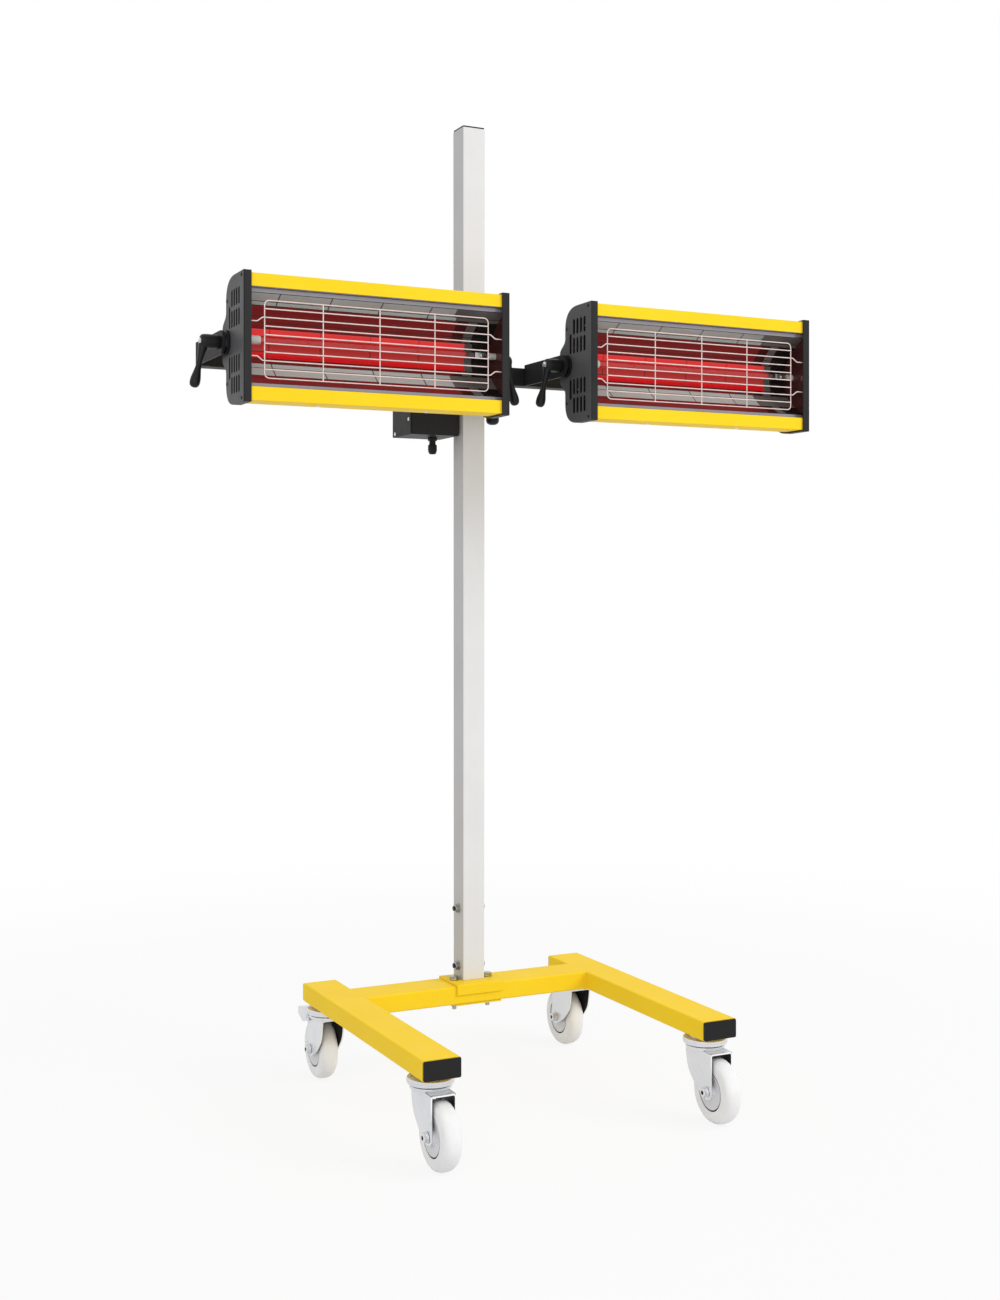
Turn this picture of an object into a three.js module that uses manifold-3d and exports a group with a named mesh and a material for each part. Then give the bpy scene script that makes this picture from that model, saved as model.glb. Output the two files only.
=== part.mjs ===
// Infrared paint curing lamp: two lamp cassettes tilt in a yoke, the yoke turns on a carriage that slides
// on a post, and the post stands on an H-shaped base with four swivel casters.
// Millimetres, +Z up, the lamps face -Y, origin on the floor under the middle of the base.
import * as THREE from 'three';
import { mergeVertices } from 'three/addons/utils/BufferGeometryUtils.js';
import Module from 'manifold-3d';

// Fits that the whole object shares
const seatGap = 0.3; // left between two pieces that touch
const overrun = 6; // how far a cut runs past what it cuts
const weldDistance = 0.0001; // vertices closer than this are one vertex

// Base frame
const baseWidth = 528;
const legLength = 510;
const legWidth = 60;
const legHeight = 30;
const legWall = 2;
const crossbarDepth = 70;
const crossbarInset = 105; // crossbar centre in from the legs' rear ends
const plugFace = 2.5; // thickness of the plug's outer face
const plugInsert = 14; // how far a plug reaches into its leg
const plugMargin = 0.8; // tube edge that shows round the plug's face

// Casters
const casterHeight = 130;
const casterInset = 42; // swivel axis in from the leg's end
const wheelRadius = 50;
const wheelWidth = 28.4; // over the two faces of the rim
const treadCrown = 4; // how much lower the tread's edges are than its middle
const treadFlat = 5; // half of the tread's level middle
const rimRadius = 28; // where the rim's face starts
const webWidth = 25;
const hubRadius = 11;
const axleRadius = 4;
const casterTrail = 33.5;
const forkWidth = 40; // over the two cheeks
const forkSheet = 2.5;
const forkHeel = 25; // fork plate behind the swivel axis
const forkToe = 12; // cheek past the axle, and the radius of its end
const tyreClearance = 7.5; // over the wheel to the fork's plate
const racewayRadius = 34.5;
const racewayHeight = 10;
const racewayChamfer = 2;
const racewayNeckRadius = 25;
const racewayNeck = 3;
const dishRadius = 31;
const kingPinRadius = 5;
const kingPinHeadRadius = 9;
const kingPinHead = 4;
const stemNutFlats = 17;
const stemNutHeight = 8;
const axleHeadFlats = 13;
const axleHead = 5.5;
const axleWasherRadius = 8.5;
const axleWasher = 1.8;

// Brake pedals on the rear casters
const pedalWidth = 48;
const pedalSheet = 2;
const pedalPivotTrail = 37; // pivot from the swivel axis
const pedalPivotRise = 4; // pivot above the wheel's top
const pedalEar = 6; // sheet round the pivot
const pedalPinRadius = 2.5;
const pedalReach = 82; // rear edge from the swivel axis
const pedalTop = 20.5; // highest edge above the wheel's top
const pedalSlope = 9; // drop of the top towards its rear edge
const pedalSkirt = 12; // side below the top at the rear edge
const padGap = 6.5; // brake pad over the tread when released
const padStart = 48;
const padLength = 14;
const padWidth = 22;

// Post and the saddle that holds it
const postSide = 40;
const postWall = 2;
const postTop = 1604.6; // over the floor
const postBack = 7.5; // post centre behind the crossbar's centre
const saddleWidth = 84;
const saddleSheet = 3;
const saddleSkirt = 18;
const stubHeight = 140;
const stubWall = 2.5;
const clampPlateDepth = 64;
const saddleBoltSpread = 62;
const postBoltLow = 22; // over the saddle's top
const postBoltHigh = 119;
const boltRadius = 4;
const boltHeadFlats = 13;
const boltHead = 5.3;
const boltWasherRadius = 8;
const boltWasher = 1.6;
const boltTail = 2.2; // thread past the nut
const capTop = 2;
const capInsert = 15;

// Carriage that slides on the post
const lampHeight = 1180.5; // tilt axis over the floor
const sleeveHeight = 120;
const sleeveWall = 3;
const swivelBossRadius = 25;
const swivelBossLength = 30;
const swivelDisc = 6; // shoulder on the back of the cross tube
const spigotRadius = 18; // turns in the boss
const spigotWall = 4;
const clampBossRadius = 11;
const clampBoss = 7;

// Control box on the left of the carriage
const boxWidth = 88;
const boxDepth = 79;
const boxHeight = 100;
const boxDrop = 97.5; // its underside below the tilt axis
const boxFrontBack = 11; // front face behind the post's front face
const boxSheet = 1.5;
const lidTurn = 10; // depth of the lid's turned edge
const glandRadius = 7.5;
const glandNut = 8;
const glandLength = 28;
const glandThreadRadius = 4.5;
const glandFromRight = 28.4; // gland axis from the box's right face
const glandFromFront = 45;
const rockerWidth = 22;
const rockerHeight = 26;
const rockerDepth = 10; // behind the pin
const rockerRoom = 0.6; // play round the rocker in its cut-out

// Yoke
const tubeSide = 30;
const tubeWall = 2;
const armHeight = 35;
const armSheet = 4;
const armReach = 129; // tilt axis in front of the cross tube

// Lamp cassettes
const cassetteWidth = 418;
const cassetteHeight = 186;
const cassetteGap = 142; // between the two cassettes
const pivotDepth = 79; // tilt axis behind the front face
const bulgeDepth = 103;
const shoulderDepth = 85;
const flatTopDepth = 45; // straight top edge behind the front face
const shoulderDrop = 34; // corner's end below the top
const bulgeStart = 48; // where the bulge leaves the shoulder, below the top
const bulgeEnd = 72; // where the bulge is at full depth, below the top
const endCapDepth = 12;
const endCapSheet = 2;
const endCapRim = 2.5;
const housingSheet = 1.2;
const topBarHeight = 19;
const bottomBarHeight = 22;
const barReturn = 9; // edge turned in behind each bar
const ventWidth = 5;
const ventHeight = 23.5;
const ventPitch = 11.4;
const ventFirst = 21.6; // first column behind the front face
const ventColumns = 4;
const ventTop = 20.5; // first row below the top edge
const ventBottom = 15.5; // last row over the bottom edge
const ventRowPitch = 29.8;
const rearVentHeight = 32; // one longer slot behind the inner rows
const spacerRadius = 18;
const spacerCollarRadius = 11;
const spacerCollarShare = 0.45; // of the room that the thinner collar takes
const spacerNutRadius = 7.5; // threaded collar inside the end cap
const frictionDisc = 7; // room between an end cap and its arm

// Inside a cassette
const reflectorSheet = 1;
const reflectorFront = 12.5; // rim behind the front face
const reflectorDepth = 56;
const emitterDepth = 46;
const emitterRadius = 6;
const ceramicRadius = 7.2;
const ceramicLength = 38;
const guardWidth = 352;
const guardHeight = 113.5;
const guardDepth = 6; // wire plane behind the front face
const guardCorner = 12;
const wireWidth = 2.6;
const guardJog = 4.5;
const guardUprights = 5;
const guardBars = 10;

// Clamping levers
const leverHubRadius = 10;
const leverNeckRadius = 5.4;
const leverStudRadius = 4;
const tiltLeverHub = 28; // hub length outside the arm
const tiltLeverLength = 67.5;
const tiltLeverBallRadius = 7.8;
const tiltLeverSlant = 14.5; // degrees away from the arm
const tiltStudEnd = 5; // stud past the inner face of the end cap
const carriageLeverHub = 18;
const carriageLeverLength = 67;
const carriageLeverBallRadius = 11.3;
const clampDrop = 8; // clamp axis below the tilt axis

// Facet counts
const wheelFacets = 24;
const discFacets = 20;
const boltFacets = 8;
const wireFacets = 4;
const handleFacets = 10;
const arcSteps = 4;
const hexSides = 6;

// Outlines as shares of the sizes that they follow
const cheekToeShare = 0.7; // half turns that the rounded end of the cheek takes
const cheekHeelShares = [[0, 1], [0.014, 0.83], [0.106, 0.51], [0.397, 0.2]];
const hubShares = [[0.85, 0], [1, 0.2], [1, 0.75], [0.75, 1]];
const handleShares = [[1.15, 0], [1.02, 0.22], [1, 0.42], [1.1, 0.6]];
const ballShares = [[0.88, 0.76], [1, 0.87], [0.84, 0.95], [0.45, 0.99]];
const leverHandleShare = 0.82; // place of the handle along its hub
const jogShares = [[0, 0], [0.3, 0], [0.38, 0], [0.62, 1], [0.7, 1], [1, 1]];
const reflectorShares = [[0, 1], [0.24, 0.86], [0.47, 0.72], [0.7, 0.52], [0.88, 0.3], [1, 0.12]];
const rockerRiseShare = 0.62; // place of the rocker up the box
const rockerShares = [[0.14, 0.25], [0.42, 0.93], [0, 1], [-1, 0.4]];
const glandShares = [[1, 0], [1, 0.3], [0.72, 0.42], [0.95, 0.52], [0.98, 0.82], [0.75, 1]];

// Places worked out from the sizes above
const legTop = casterHeight + legHeight;
const legX = (baseWidth - legWidth) / 2;
const crossbarY = legLength / 2 - crossbarInset;
const saddleTop = legTop + seatGap + saddleSheet;
const postY = crossbarY + postBack;
const postBottom = saddleTop + seatGap;
const sleeveOuter = postSide / 2 + seatGap + sleeveWall;
const swivelY = postY - sleeveOuter; // front face of the sleeve
const tubeBackY = swivelY - swivelBossLength - seatGap - swivelDisc;
const tubeFrontY = tubeBackY - tubeSide;
const tubeZ = lampHeight - armHeight / 2 + tubeSide / 2;
const pivotY = tubeFrontY - armReach;
const cassetteX = (cassetteGap + cassetteWidth) / 2;
const yokeHalf = cassetteGap / 2 + cassetteWidth + frictionDisc + armSheet;
const forkPlateBottom = 2 * wheelRadius + tyreClearance;
const forkPlateTop = forkPlateBottom + forkSheet;
const racewayBottom = casterHeight - seatGap - racewayNeck - racewayHeight;
const boxBottom = lampHeight - boxDrop;

const wasm = await Module();
wasm.setup();
const { Manifold, Mesh } = wasm;

// Colours and finishes
function finish(color, roughness, metalness) {
  return new THREE.MeshStandardMaterial({ color, roughness, metalness });
}

const yellowPaint = finish(0xffdb38, 0.4, 0.1);
const blackPaint = finish(0x2b2b2d, 0.5, 0.1);
const blackPlastic = finish(0x1e1e20, 0.55, 0);
const aluminium = finish(0xd9d9d6, 0.4, 0.7);
const zinc = finish(0xc9cccf, 0.3, 0.9);
const steel = finish(0xb9b4a6, 0.3, 0.9);
const nylon = finish(0xe8e8e6, 0.45, 0);
const polished = finish(0xb8b4b2, 0.1, 1);
const glowing = finish(0xe02020, 0.3, 0);
const wire = finish(0xd8c8c4, 0.2, 1);

const lamp = new THREE.Group();

// Turns a closed three.js geometry into a solid that can be joined and cut.
function solidOf(geometry) {
  const bare = geometry.clone();
  bare.deleteAttribute('normal');
  bare.deleteAttribute('uv');
  const welded = mergeVertices(bare, weldDistance);
  const corners = welded.index.array;
  const kept = [];
  for (let i = 0; i < corners.length; i += 3) {
    const [a, b, c] = [corners[i], corners[i + 1], corners[i + 2]];
    if (a !== b && b !== c && c !== a) kept.push(a, b, c);
  }
  const vertProperties = Float32Array.from(welded.attributes.position.array);
  return new Manifold(new Mesh({ numProp: 3, vertProperties, triVerts: Uint32Array.from(kept) }));
}

function geometryOf(solid) {
  const mesh = solid.getMesh();
  const geometry = new THREE.BufferGeometry();
  geometry.setAttribute('position', new THREE.BufferAttribute(Float32Array.from(mesh.vertProperties), 3));
  geometry.setIndex(new THREE.BufferAttribute(Uint32Array.from(mesh.triVerts), 1));
  geometry.computeVertexNormals();
  return geometry;
}

function join(first, ...others) {
  return others.reduce((whole, piece) => whole.add(piece), first);
}

function cut(body, ...tools) {
  return tools.reduce((rest, tool) => rest.subtract(tool), body);
}

// Adds a solid to the object as one named piece.
function piece(name, solid, material, parent = lamp) {
  const mesh = new THREE.Mesh(geometryOf(solid), material);
  mesh.name = name;
  parent.add(mesh);
  return mesh;
}

function groupAt(x, y, z, parent = lamp) {
  const group = new THREE.Group();
  group.position.set(x, y, z);
  parent.add(group);
  return group;
}

// A block between two corners, given as a range along each axis.
function block([x0, x1], [y0, y1], [z0, z1]) {
  const geometry = new THREE.BoxGeometry(x1 - x0, y1 - y0, z1 - z0);
  return solidOf(geometry.translate((x0 + x1) / 2, (y0 + y1) / 2, (z0 + z1) / 2));
}

const centred = (size, middle = 0) => [middle - size / 2, middle + size / 2];

// A span between two places, whichever comes first.
const between = (a, b) => [Math.min(a, b), Math.max(a, b)];

const turnTo = {
  x: (geometry) => geometry.rotateZ(-Math.PI / 2),
  y: (geometry) => geometry,
  z: (geometry) => geometry.rotateX(Math.PI / 2),
};

// A round bar along an axis, from one place on that axis to another, through the point given.
function bar(axis, radius, [from, to], [x, y, z], facets = discFacets) {
  const geometry = new THREE.CylinderGeometry(radius, radius, to - from, facets);
  const along = (from + to) / 2;
  const centre = { x: [along, y, z], y: [x, along, z], z: [x, y, along] }[axis];
  return solidOf(turnTo[axis](geometry).translate(...centre));
}

// A round bar that is cut away, wide enough for the corners of a bar of that radius to turn in it.
function bore(axis, radius, span, through, facets = boltFacets) {
  return bar(axis, (radius + seatGap) / Math.cos(Math.PI / facets), span, through, facets);
}

function hexBar(axis, flats, span, through) {
  return bar(axis, flats / 2 / Math.cos(Math.PI / hexSides), span, through, hexSides);
}

// A turned body along an axis: the profile holds pairs of radius and place along the axis.
function turned(axis, profile, [x, y, z], facets) {
  const points = profile.map(([radius, along]) => new THREE.Vector2(radius, along));
  const geometry = new THREE.LatheGeometry(points, facets);
  return solidOf(turnTo[axis](geometry).translate(x, y, z));
}

function shapeOf(points) {
  return new THREE.Shape(points.map(([a, b]) => new THREE.Vector2(a, b)));
}

const basisAlongX = new THREE.Matrix4().makeBasis(
  new THREE.Vector3(0, 1, 0), new THREE.Vector3(0, 0, 1), new THREE.Vector3(1, 0, 0));
const basisAlongY = new THREE.Matrix4().makeBasis(
  new THREE.Vector3(1, 0, 0), new THREE.Vector3(0, 0, 1), new THREE.Vector3(0, -1, 0));

// An outline of y and z pairs drawn out along X.
function drawnAlongX(points, [x0, x1]) {
  const geometry = new THREE.ExtrudeGeometry(shapeOf(points), { depth: x1 - x0, bevelEnabled: false });
  return solidOf(geometry.applyMatrix4(basisAlongX).translate(x0, 0, 0));
}

// An outline of x and z pairs drawn out along Y.
function drawnAlongY(shape, [y0, y1]) {
  const options = { depth: y1 - y0, bevelEnabled: false, curveSegments: arcSteps };
  const geometry = new THREE.ExtrudeGeometry(shape, options);
  return solidOf(geometry.applyMatrix4(basisAlongY).translate(0, y1, 0));
}

// The same outline with each edge moved inwards; the outline runs anticlockwise.
function inset(points, distance) {
  const count = points.length;
  const edges = points.map(([a, b], i) => {
    const [c, d] = points[(i + 1) % count];
    const length = Math.hypot(c - a, d - b);
    const [u, v] = [(c - a) / length, (d - b) / length];
    return { a: a - v * distance, b: b + u * distance, u, v };
  });
  return edges.map((edge, i) => {
    const before = edges[(i + count - 1) % count];
    const turn = before.u * edge.v - before.v * edge.u;
    if (Math.abs(turn) < weldDistance) return [edge.a, edge.b];
    const t = ((edge.a - before.a) * edge.v - (edge.b - before.b) * edge.u) / turn;
    return [before.a + before.u * t, before.b + before.v * t];
  });
}

// A bolt along an axis: its head's washer lies on one face, and its nut and washer on the other.
function bolt(axis, headFace, nutFace, through) {
  const out = Math.sign(nutFace - headFace);
  const parts = [[headFace, -out], [nutFace, out]].flatMap(([face, away]) => {
    const outer = face + away * boltWasher;
    return [bar(axis, boltWasherRadius, between(face, outer), through),
      hexBar(axis, boltHeadFlats, between(outer, outer + away * boltHead), through)];
  });
  const shank = between(headFace - out * boltWasher, nutFace + out * (boltWasher + boltHead + boltTail));
  return join(bar(axis, boltRadius, shank, through, boltFacets), ...parts);
}

function buildBase() {
  const legZ = [casterHeight, legTop];
  const inner = [casterHeight + legWall, legTop - legWall];
  const legY = centred(legLength - 2 * plugFace);
  const casterPlaces = [-1, 1].map((end) => end * (legLength / 2 - casterInset));
  const underside = [casterHeight - overrun, casterHeight + overrun];
  for (const [side, word] of [[-1, 'left'], [1, 'right']]) {
    const x = side * legX;
    const hollow = block(centred(legWidth - 2 * legWall, x), centred(legLength + overrun), inner);
    const holes = casterPlaces.map((y) => bore('z', kingPinRadius, underside, [x, y, 0]));
    piece(`${word}_leg`, cut(block(centred(legWidth, x), legY, legZ), hollow, ...holes), yellowPaint);
    for (const [end, place] of [[-1, 'front'], [1, 'rear']]) {
      const outer = end * legLength / 2;
      const faceY = between(outer, outer - end * (plugFace - seatGap));
      const insertY = between(outer - end * (plugFace - 2 * seatGap), outer - end * (plugFace + plugInsert));
      const face = block(centred(legWidth - 2 * plugMargin, x), faceY,
        [casterHeight + plugMargin, legTop - plugMargin]);
      const insert = block(centred(legWidth - 2 * (legWall + seatGap), x), insertY,
        [casterHeight + legWall + seatGap, legTop - legWall - seatGap]);
      const hollowOut = block(centred(legWidth - 4 * legWall - 2 * seatGap, x),
        centred(2 * plugInsert, outer - end * (2 * plugFace + plugInsert)),
        [casterHeight + 2 * legWall + seatGap, legTop - 2 * legWall - seatGap]);
      piece(`leg_plug_${place}_${word}`, join(cut(insert, hollowOut), face), blackPlastic);
    }
  }

  const crossbarX = centred(baseWidth - 2 * legWidth - 2 * seatGap);
  const boltPlaces = [-1, 1].map((side) => [side * saddleBoltSpread / 2, crossbarY, 0]);
  const boltHoles = (z0, z1) => boltPlaces.map((place) => bore('z', boltRadius, [z0, z1], place));
  const crossbar = cut(block(crossbarX, centred(crossbarDepth, crossbarY), legZ),
    block(centred(baseWidth), centred(crossbarDepth - 2 * legWall, crossbarY), inner),
    ...boltHoles(casterHeight - overrun, legTop + overrun));
  piece('base_crossbar', crossbar, yellowPaint);

  const plateBottom = legTop + seatGap;
  const skirtInner = crossbarDepth / 2 + seatGap;
  const stubSide = postSide - 2 * (postWall + seatGap);
  const stubTop = saddleTop + stubHeight;
  const stubBore = stubSide - 2 * stubWall;
  const channel = cut(
    block(centred(saddleWidth), centred(2 * (skirtInner + saddleSheet), crossbarY),
      [saddleTop - saddleSkirt, saddleTop]),
    block(centred(saddleWidth + overrun), centred(2 * skirtInner, crossbarY),
      [saddleTop - saddleSkirt - overrun, plateBottom]));
  const stub = block(centred(stubSide), centred(stubSide, postY), [plateBottom + saddleSheet / 2, stubTop]);
  const saddle = cut(join(channel, stub),
    block(centred(stubBore), centred(stubBore, postY), [plateBottom - overrun, stubTop + overrun]),
    ...boltHoles(plateBottom - overrun, saddleTop + overrun),
    ...postBoltHoles(postSide));
  piece('post_saddle', saddle, yellowPaint);

  const clampTop = casterHeight - seatGap;
  const clampZ = [clampTop - saddleSheet, clampTop];
  const clampPlate = cut(block(centred(saddleWidth), centred(clampPlateDepth, crossbarY), clampZ),
    ...boltHoles(clampZ[0] - overrun, clampZ[1] + overrun));
  piece('saddle_clamp_plate', clampPlate, yellowPaint);
  for (const [place, word] of [[boltPlaces[0], 'left'], [boltPlaces[1], 'right']]) {
    piece(`saddle_bolt_${word}`, bolt('z', saddleTop + seatGap, clampZ[0] - seatGap, place), steel);
  }
}

const postBoltHeights = [[postBoltLow, 'lower'], [postBoltHigh, 'upper']];

function postBoltHoles(length) {
  const span = centred(length);
  return postBoltHeights.map(([rise]) => bore('x', boltRadius, span, [0, postY, saddleTop + rise]));
}

function buildPost() {
  const outer = centred(postSide, postY);
  const inner = postSide - 2 * postWall;
  const tube = cut(block(centred(postSide), outer, [postBottom, postTop]),
    block(centred(inner), centred(inner, postY), [postBottom - overrun, postTop + overrun]),
    ...postBoltHoles(postSide + overrun));
  piece('post', tube, aluminium);
  const insertSide = inner - 2 * seatGap;
  const capZ = postTop + seatGap;
  piece('post_cap', join(
    block(centred(postSide), outer, [capZ, capZ + capTop]),
    cut(block(centred(insertSide), centred(insertSide, postY), [postTop - capInsert, capZ + capTop / 2]),
      block(centred(insertSide - 2 * postWall), centred(insertSide - 2 * postWall, postY),
        [postTop - capInsert - overrun, postTop]))), blackPlastic);
  for (const [rise, word] of postBoltHeights) {
    const half = postSide / 2 + seatGap;
    piece(`post_bolt_${word}`, bolt('x', half, -half, [0, postY, saddleTop + rise]), steel);
  }
}

// One side of a caster's fork, as pairs of trail and height.
function cheekOutline() {
  const length = forkHeel + casterTrail + forkToe;
  const bottom = wheelRadius - forkToe;
  const height = forkPlateTop - bottom;
  const heel = cheekHeelShares.map(([along, up]) => [length * along - forkHeel, bottom + height * up]);
  const toe = [];
  for (let i = 0; i <= 2 * arcSteps; i += 1) {
    const angle = -cheekToeShare * (1 - i / (2 * arcSteps)) * Math.PI;
    toe.push([casterTrail + forkToe * Math.cos(angle), wheelRadius + forkToe * Math.sin(angle)]);
  }
  return [...heel, ...toe, [casterTrail + forkToe, forkPlateTop]];
}

function buildFork(hasPedal) {
  const half = forkWidth / 2;
  const outline = cheekOutline();
  const plate = block(centred(forkWidth), [-forkHeel, casterTrail + forkToe],
    [forkPlateBottom, forkPlateTop]);
  const cheeks = [-half, half - forkSheet].map((x) => drawnAlongX(outline, [x, x + forkSheet]));
  const dish = bar('z', dishRadius, [forkPlateBottom, racewayBottom - seatGap], [0, 0, 0]);
  const through = centred(forkWidth + overrun);
  const tools = [
    bore('z', kingPinRadius, [forkPlateBottom - overrun, casterHeight], [0, 0, 0]),
    bore('x', axleRadius, through, [0, casterTrail, wheelRadius]),
  ];
  if (hasPedal) tools.push(bore('x', pedalPinRadius, through, pedalPivot()));
  return cut(join(plate, ...cheeks, dish), ...tools);
}

const pedalPivot = () => [0, pedalPivotTrail, 2 * wheelRadius + pedalPivotRise];

// A pressed channel over the wheel, hinged on the fork, with a brake pad under its top.
function buildPedal() {
  const top = 2 * wheelRadius + pedalTop;
  const rearTop = top - pedalSlope;
  const [, pinTrail, pinHeight] = pedalPivot();
  const rise = racewayRadius + pedalSheet;
  const belly = (pinTrail + pedalReach) / 2;
  const outline = [
    [pinTrail - pedalEar, pinHeight - pedalEar], [belly, rearTop - pedalSkirt - pedalSlope],
    [pedalReach, rearTop - pedalSkirt], [pedalReach, rearTop], [rise, top],
    [rise, pinHeight + pedalEar], [pinTrail - pedalEar, pinHeight + pedalEar / 2]];
  const underside = rearTop - pedalSheet - pedalSlope * overrun / (pedalReach - rise);
  const inner = [
    [0, 0], [pedalReach + overrun, 0], [pedalReach + overrun, underside],
    [rise, top - pedalSheet], [0, top - pedalSheet]];
  const channel = cut(drawnAlongX(outline, centred(pedalWidth)),
    drawnAlongX(inner, centred(pedalWidth - 2 * pedalSheet)));
  const tread = (along) => wheelRadius + Math.sqrt(wheelRadius ** 2 - (along - casterTrail) ** 2);
  const padEnd = padStart + padLength;
  const padTop = top - pedalSlope * (padEnd - rise) / (pedalReach - rise) - pedalSheet / 2;
  const padFace = [padStart, padEnd].map((along) => [along, tread(along) + padGap]);
  const pad = drawnAlongX([...padFace, [padEnd, padTop], [padStart, padTop]], centred(padWidth));
  const pin = bar('x', pedalPinRadius, centred(pedalWidth + 2 * pedalSheet), pedalPivot(), boltFacets);
  return join(channel, pad, pin);
}

// The wheel's facets are turned so that one lies flat on the floor.
function buildWheel(through) {
  const rim = wheelWidth / 2;
  const hub = forkWidth / 2 - forkSheet - seatGap;
  const web = webWidth / 2;
  const half = [
    [axleRadius + seatGap, hub], [hubRadius, hub], [hubRadius + hub - web, web],
    [rimRadius - rim + web, web], [rimRadius, rim],
    [wheelRadius - treadCrown, rim], [wheelRadius, treadFlat]];
  const mirrored = half.map(([radius, along]) => [radius, -along]).reverse();
  const halfTurn = Math.PI / wheelFacets;
  const points = [...half, ...mirrored, half[0]].reverse().map(([radius, along]) =>
    new THREE.Vector2(radius / Math.cos(halfTurn), along));
  const wheel = new THREE.LatheGeometry(points, wheelFacets, halfTurn);
  return solidOf(turnTo.x(wheel).translate(...through));
}

function buildCaster(word, x, end, hasPedal) {
  const caster = groupAt(x, end * (legLength / 2 - casterInset), 0);
  if (end < 0) caster.rotation.z = Math.PI;
  const neckTop = casterHeight - seatGap;
  const neckBottom = neckTop - racewayNeck;
  const pinEnd = forkPlateBottom - seatGap;
  const nutBottom = casterHeight + legWall + seatGap;
  const raceway = join(
    turned('z', [[0, racewayBottom], [racewayRadius - racewayChamfer, racewayBottom],
      [racewayRadius, racewayBottom + racewayChamfer], [racewayRadius, neckBottom - racewayChamfer],
      [racewayRadius - racewayChamfer, neckBottom], [racewayNeckRadius, neckBottom],
      [racewayNeckRadius, neckTop], [0, neckTop]], [0, 0, 0], discFacets),
    bar('z', kingPinRadius, [pinEnd - kingPinHead, nutBottom + stemNutHeight], [0, 0, 0], boltFacets),
    bar('z', kingPinHeadRadius, [pinEnd - kingPinHead, pinEnd], [0, 0, 0], boltFacets),
    hexBar('z', stemNutFlats, [nutBottom, nutBottom + stemNutHeight], [0, 0, 0]));
  piece(`caster_raceway_${word}`, raceway, zinc, caster);
  piece(`caster_fork_${word}`, buildFork(hasPedal), zinc, caster);

  const half = forkWidth / 2 + seatGap;
  const through = [0, casterTrail, wheelRadius];
  const axle = join(
    bar('x', axleRadius, centred(2 * (half + axleWasher + axleHead)), through, boltFacets),
    ...[-1, 1].flatMap((side) => {
      const outer = side * (half + axleWasher);
      return [bar('x', axleWasherRadius, between(side * half, outer), through),
        hexBar('x', axleHeadFlats, between(outer, outer + side * axleHead), through)];
    }));
  piece(`caster_axle_${word}`, axle, zinc, caster);
  piece(`caster_wheel_${word}`, buildWheel(through), nylon, caster);
  if (hasPedal) piece(`brake_pedal_${word}`, buildPedal(), zinc, caster);
}

// A clamping lever: the hub points along +X from the face that it clamps, and the handle hangs down.
function buildLever({ hubLength, length, ballRadius, slant, studLength }) {
  const hub = turned('x', [[0, seatGap], ...hubShares.map(([wide, out]) =>
    [leverHubRadius * wide, seatGap + (hubLength - seatGap) * out]), [0, hubLength]],
  [0, 0, 0], handleFacets);
  const profile = [[0, 0], ...handleShares.map(([wide, down]) => [leverNeckRadius * wide, length * down]),
    ...ballShares.map(([wide, down]) => [ballRadius * wide, length * down]), [0, length]];
  const points = profile.map(([radius, along]) => new THREE.Vector2(radius, along));
  const handle = new THREE.LatheGeometry(points, handleFacets);
  handle.rotateX(-Math.PI / 2).rotateY(-THREE.MathUtils.degToRad(slant));
  handle.translate(hubLength * leverHandleShare, 0, 0);
  const stud = bar('x', leverStudRadius, [-studLength, hubLength / 2], [0, 0, 0], boltFacets);
  return join(hub, solidOf(handle), stud);
}

function buildCarriage() {
  const outer = 2 * sleeveOuter;
  const inner = postSide + 2 * seatGap;
  const z = centred(sleeveHeight, lampHeight);
  const clampZ = lampHeight - clampDrop;
  const clampX = [sleeveOuter - sleeveWall / 2, sleeveOuter + clampBoss];
  const sleeve = cut(
    join(block(centred(outer), centred(outer, postY), z),
      bar('y', swivelBossRadius, [swivelY - swivelBossLength, swivelY + sleeveWall / 2], [0, 0, tubeZ]),
      bar('x', clampBossRadius, clampX, [0, postY, clampZ])),
    block(centred(inner), centred(inner, postY), [z[0] - overrun, z[1] + overrun]),
    bore('y', spigotRadius, [swivelY - swivelBossLength - overrun, swivelY], [0, 0, tubeZ], discFacets),
    bore('x', leverStudRadius, [0, clampX[1] + overrun], [0, postY, clampZ]));
  piece('carriage_sleeve', sleeve, blackPaint);

  const leverPlace = groupAt(clampX[1], postY, clampZ);
  const lever = buildLever({
    hubLength: carriageLeverHub,
    length: carriageLeverLength,
    ballRadius: carriageLeverBallRadius,
    slant: 0,
    studLength: clampX[1] - postSide / 2 - seatGap,
  });
  piece('carriage_lever', lever, blackPlastic, leverPlace);
}

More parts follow.
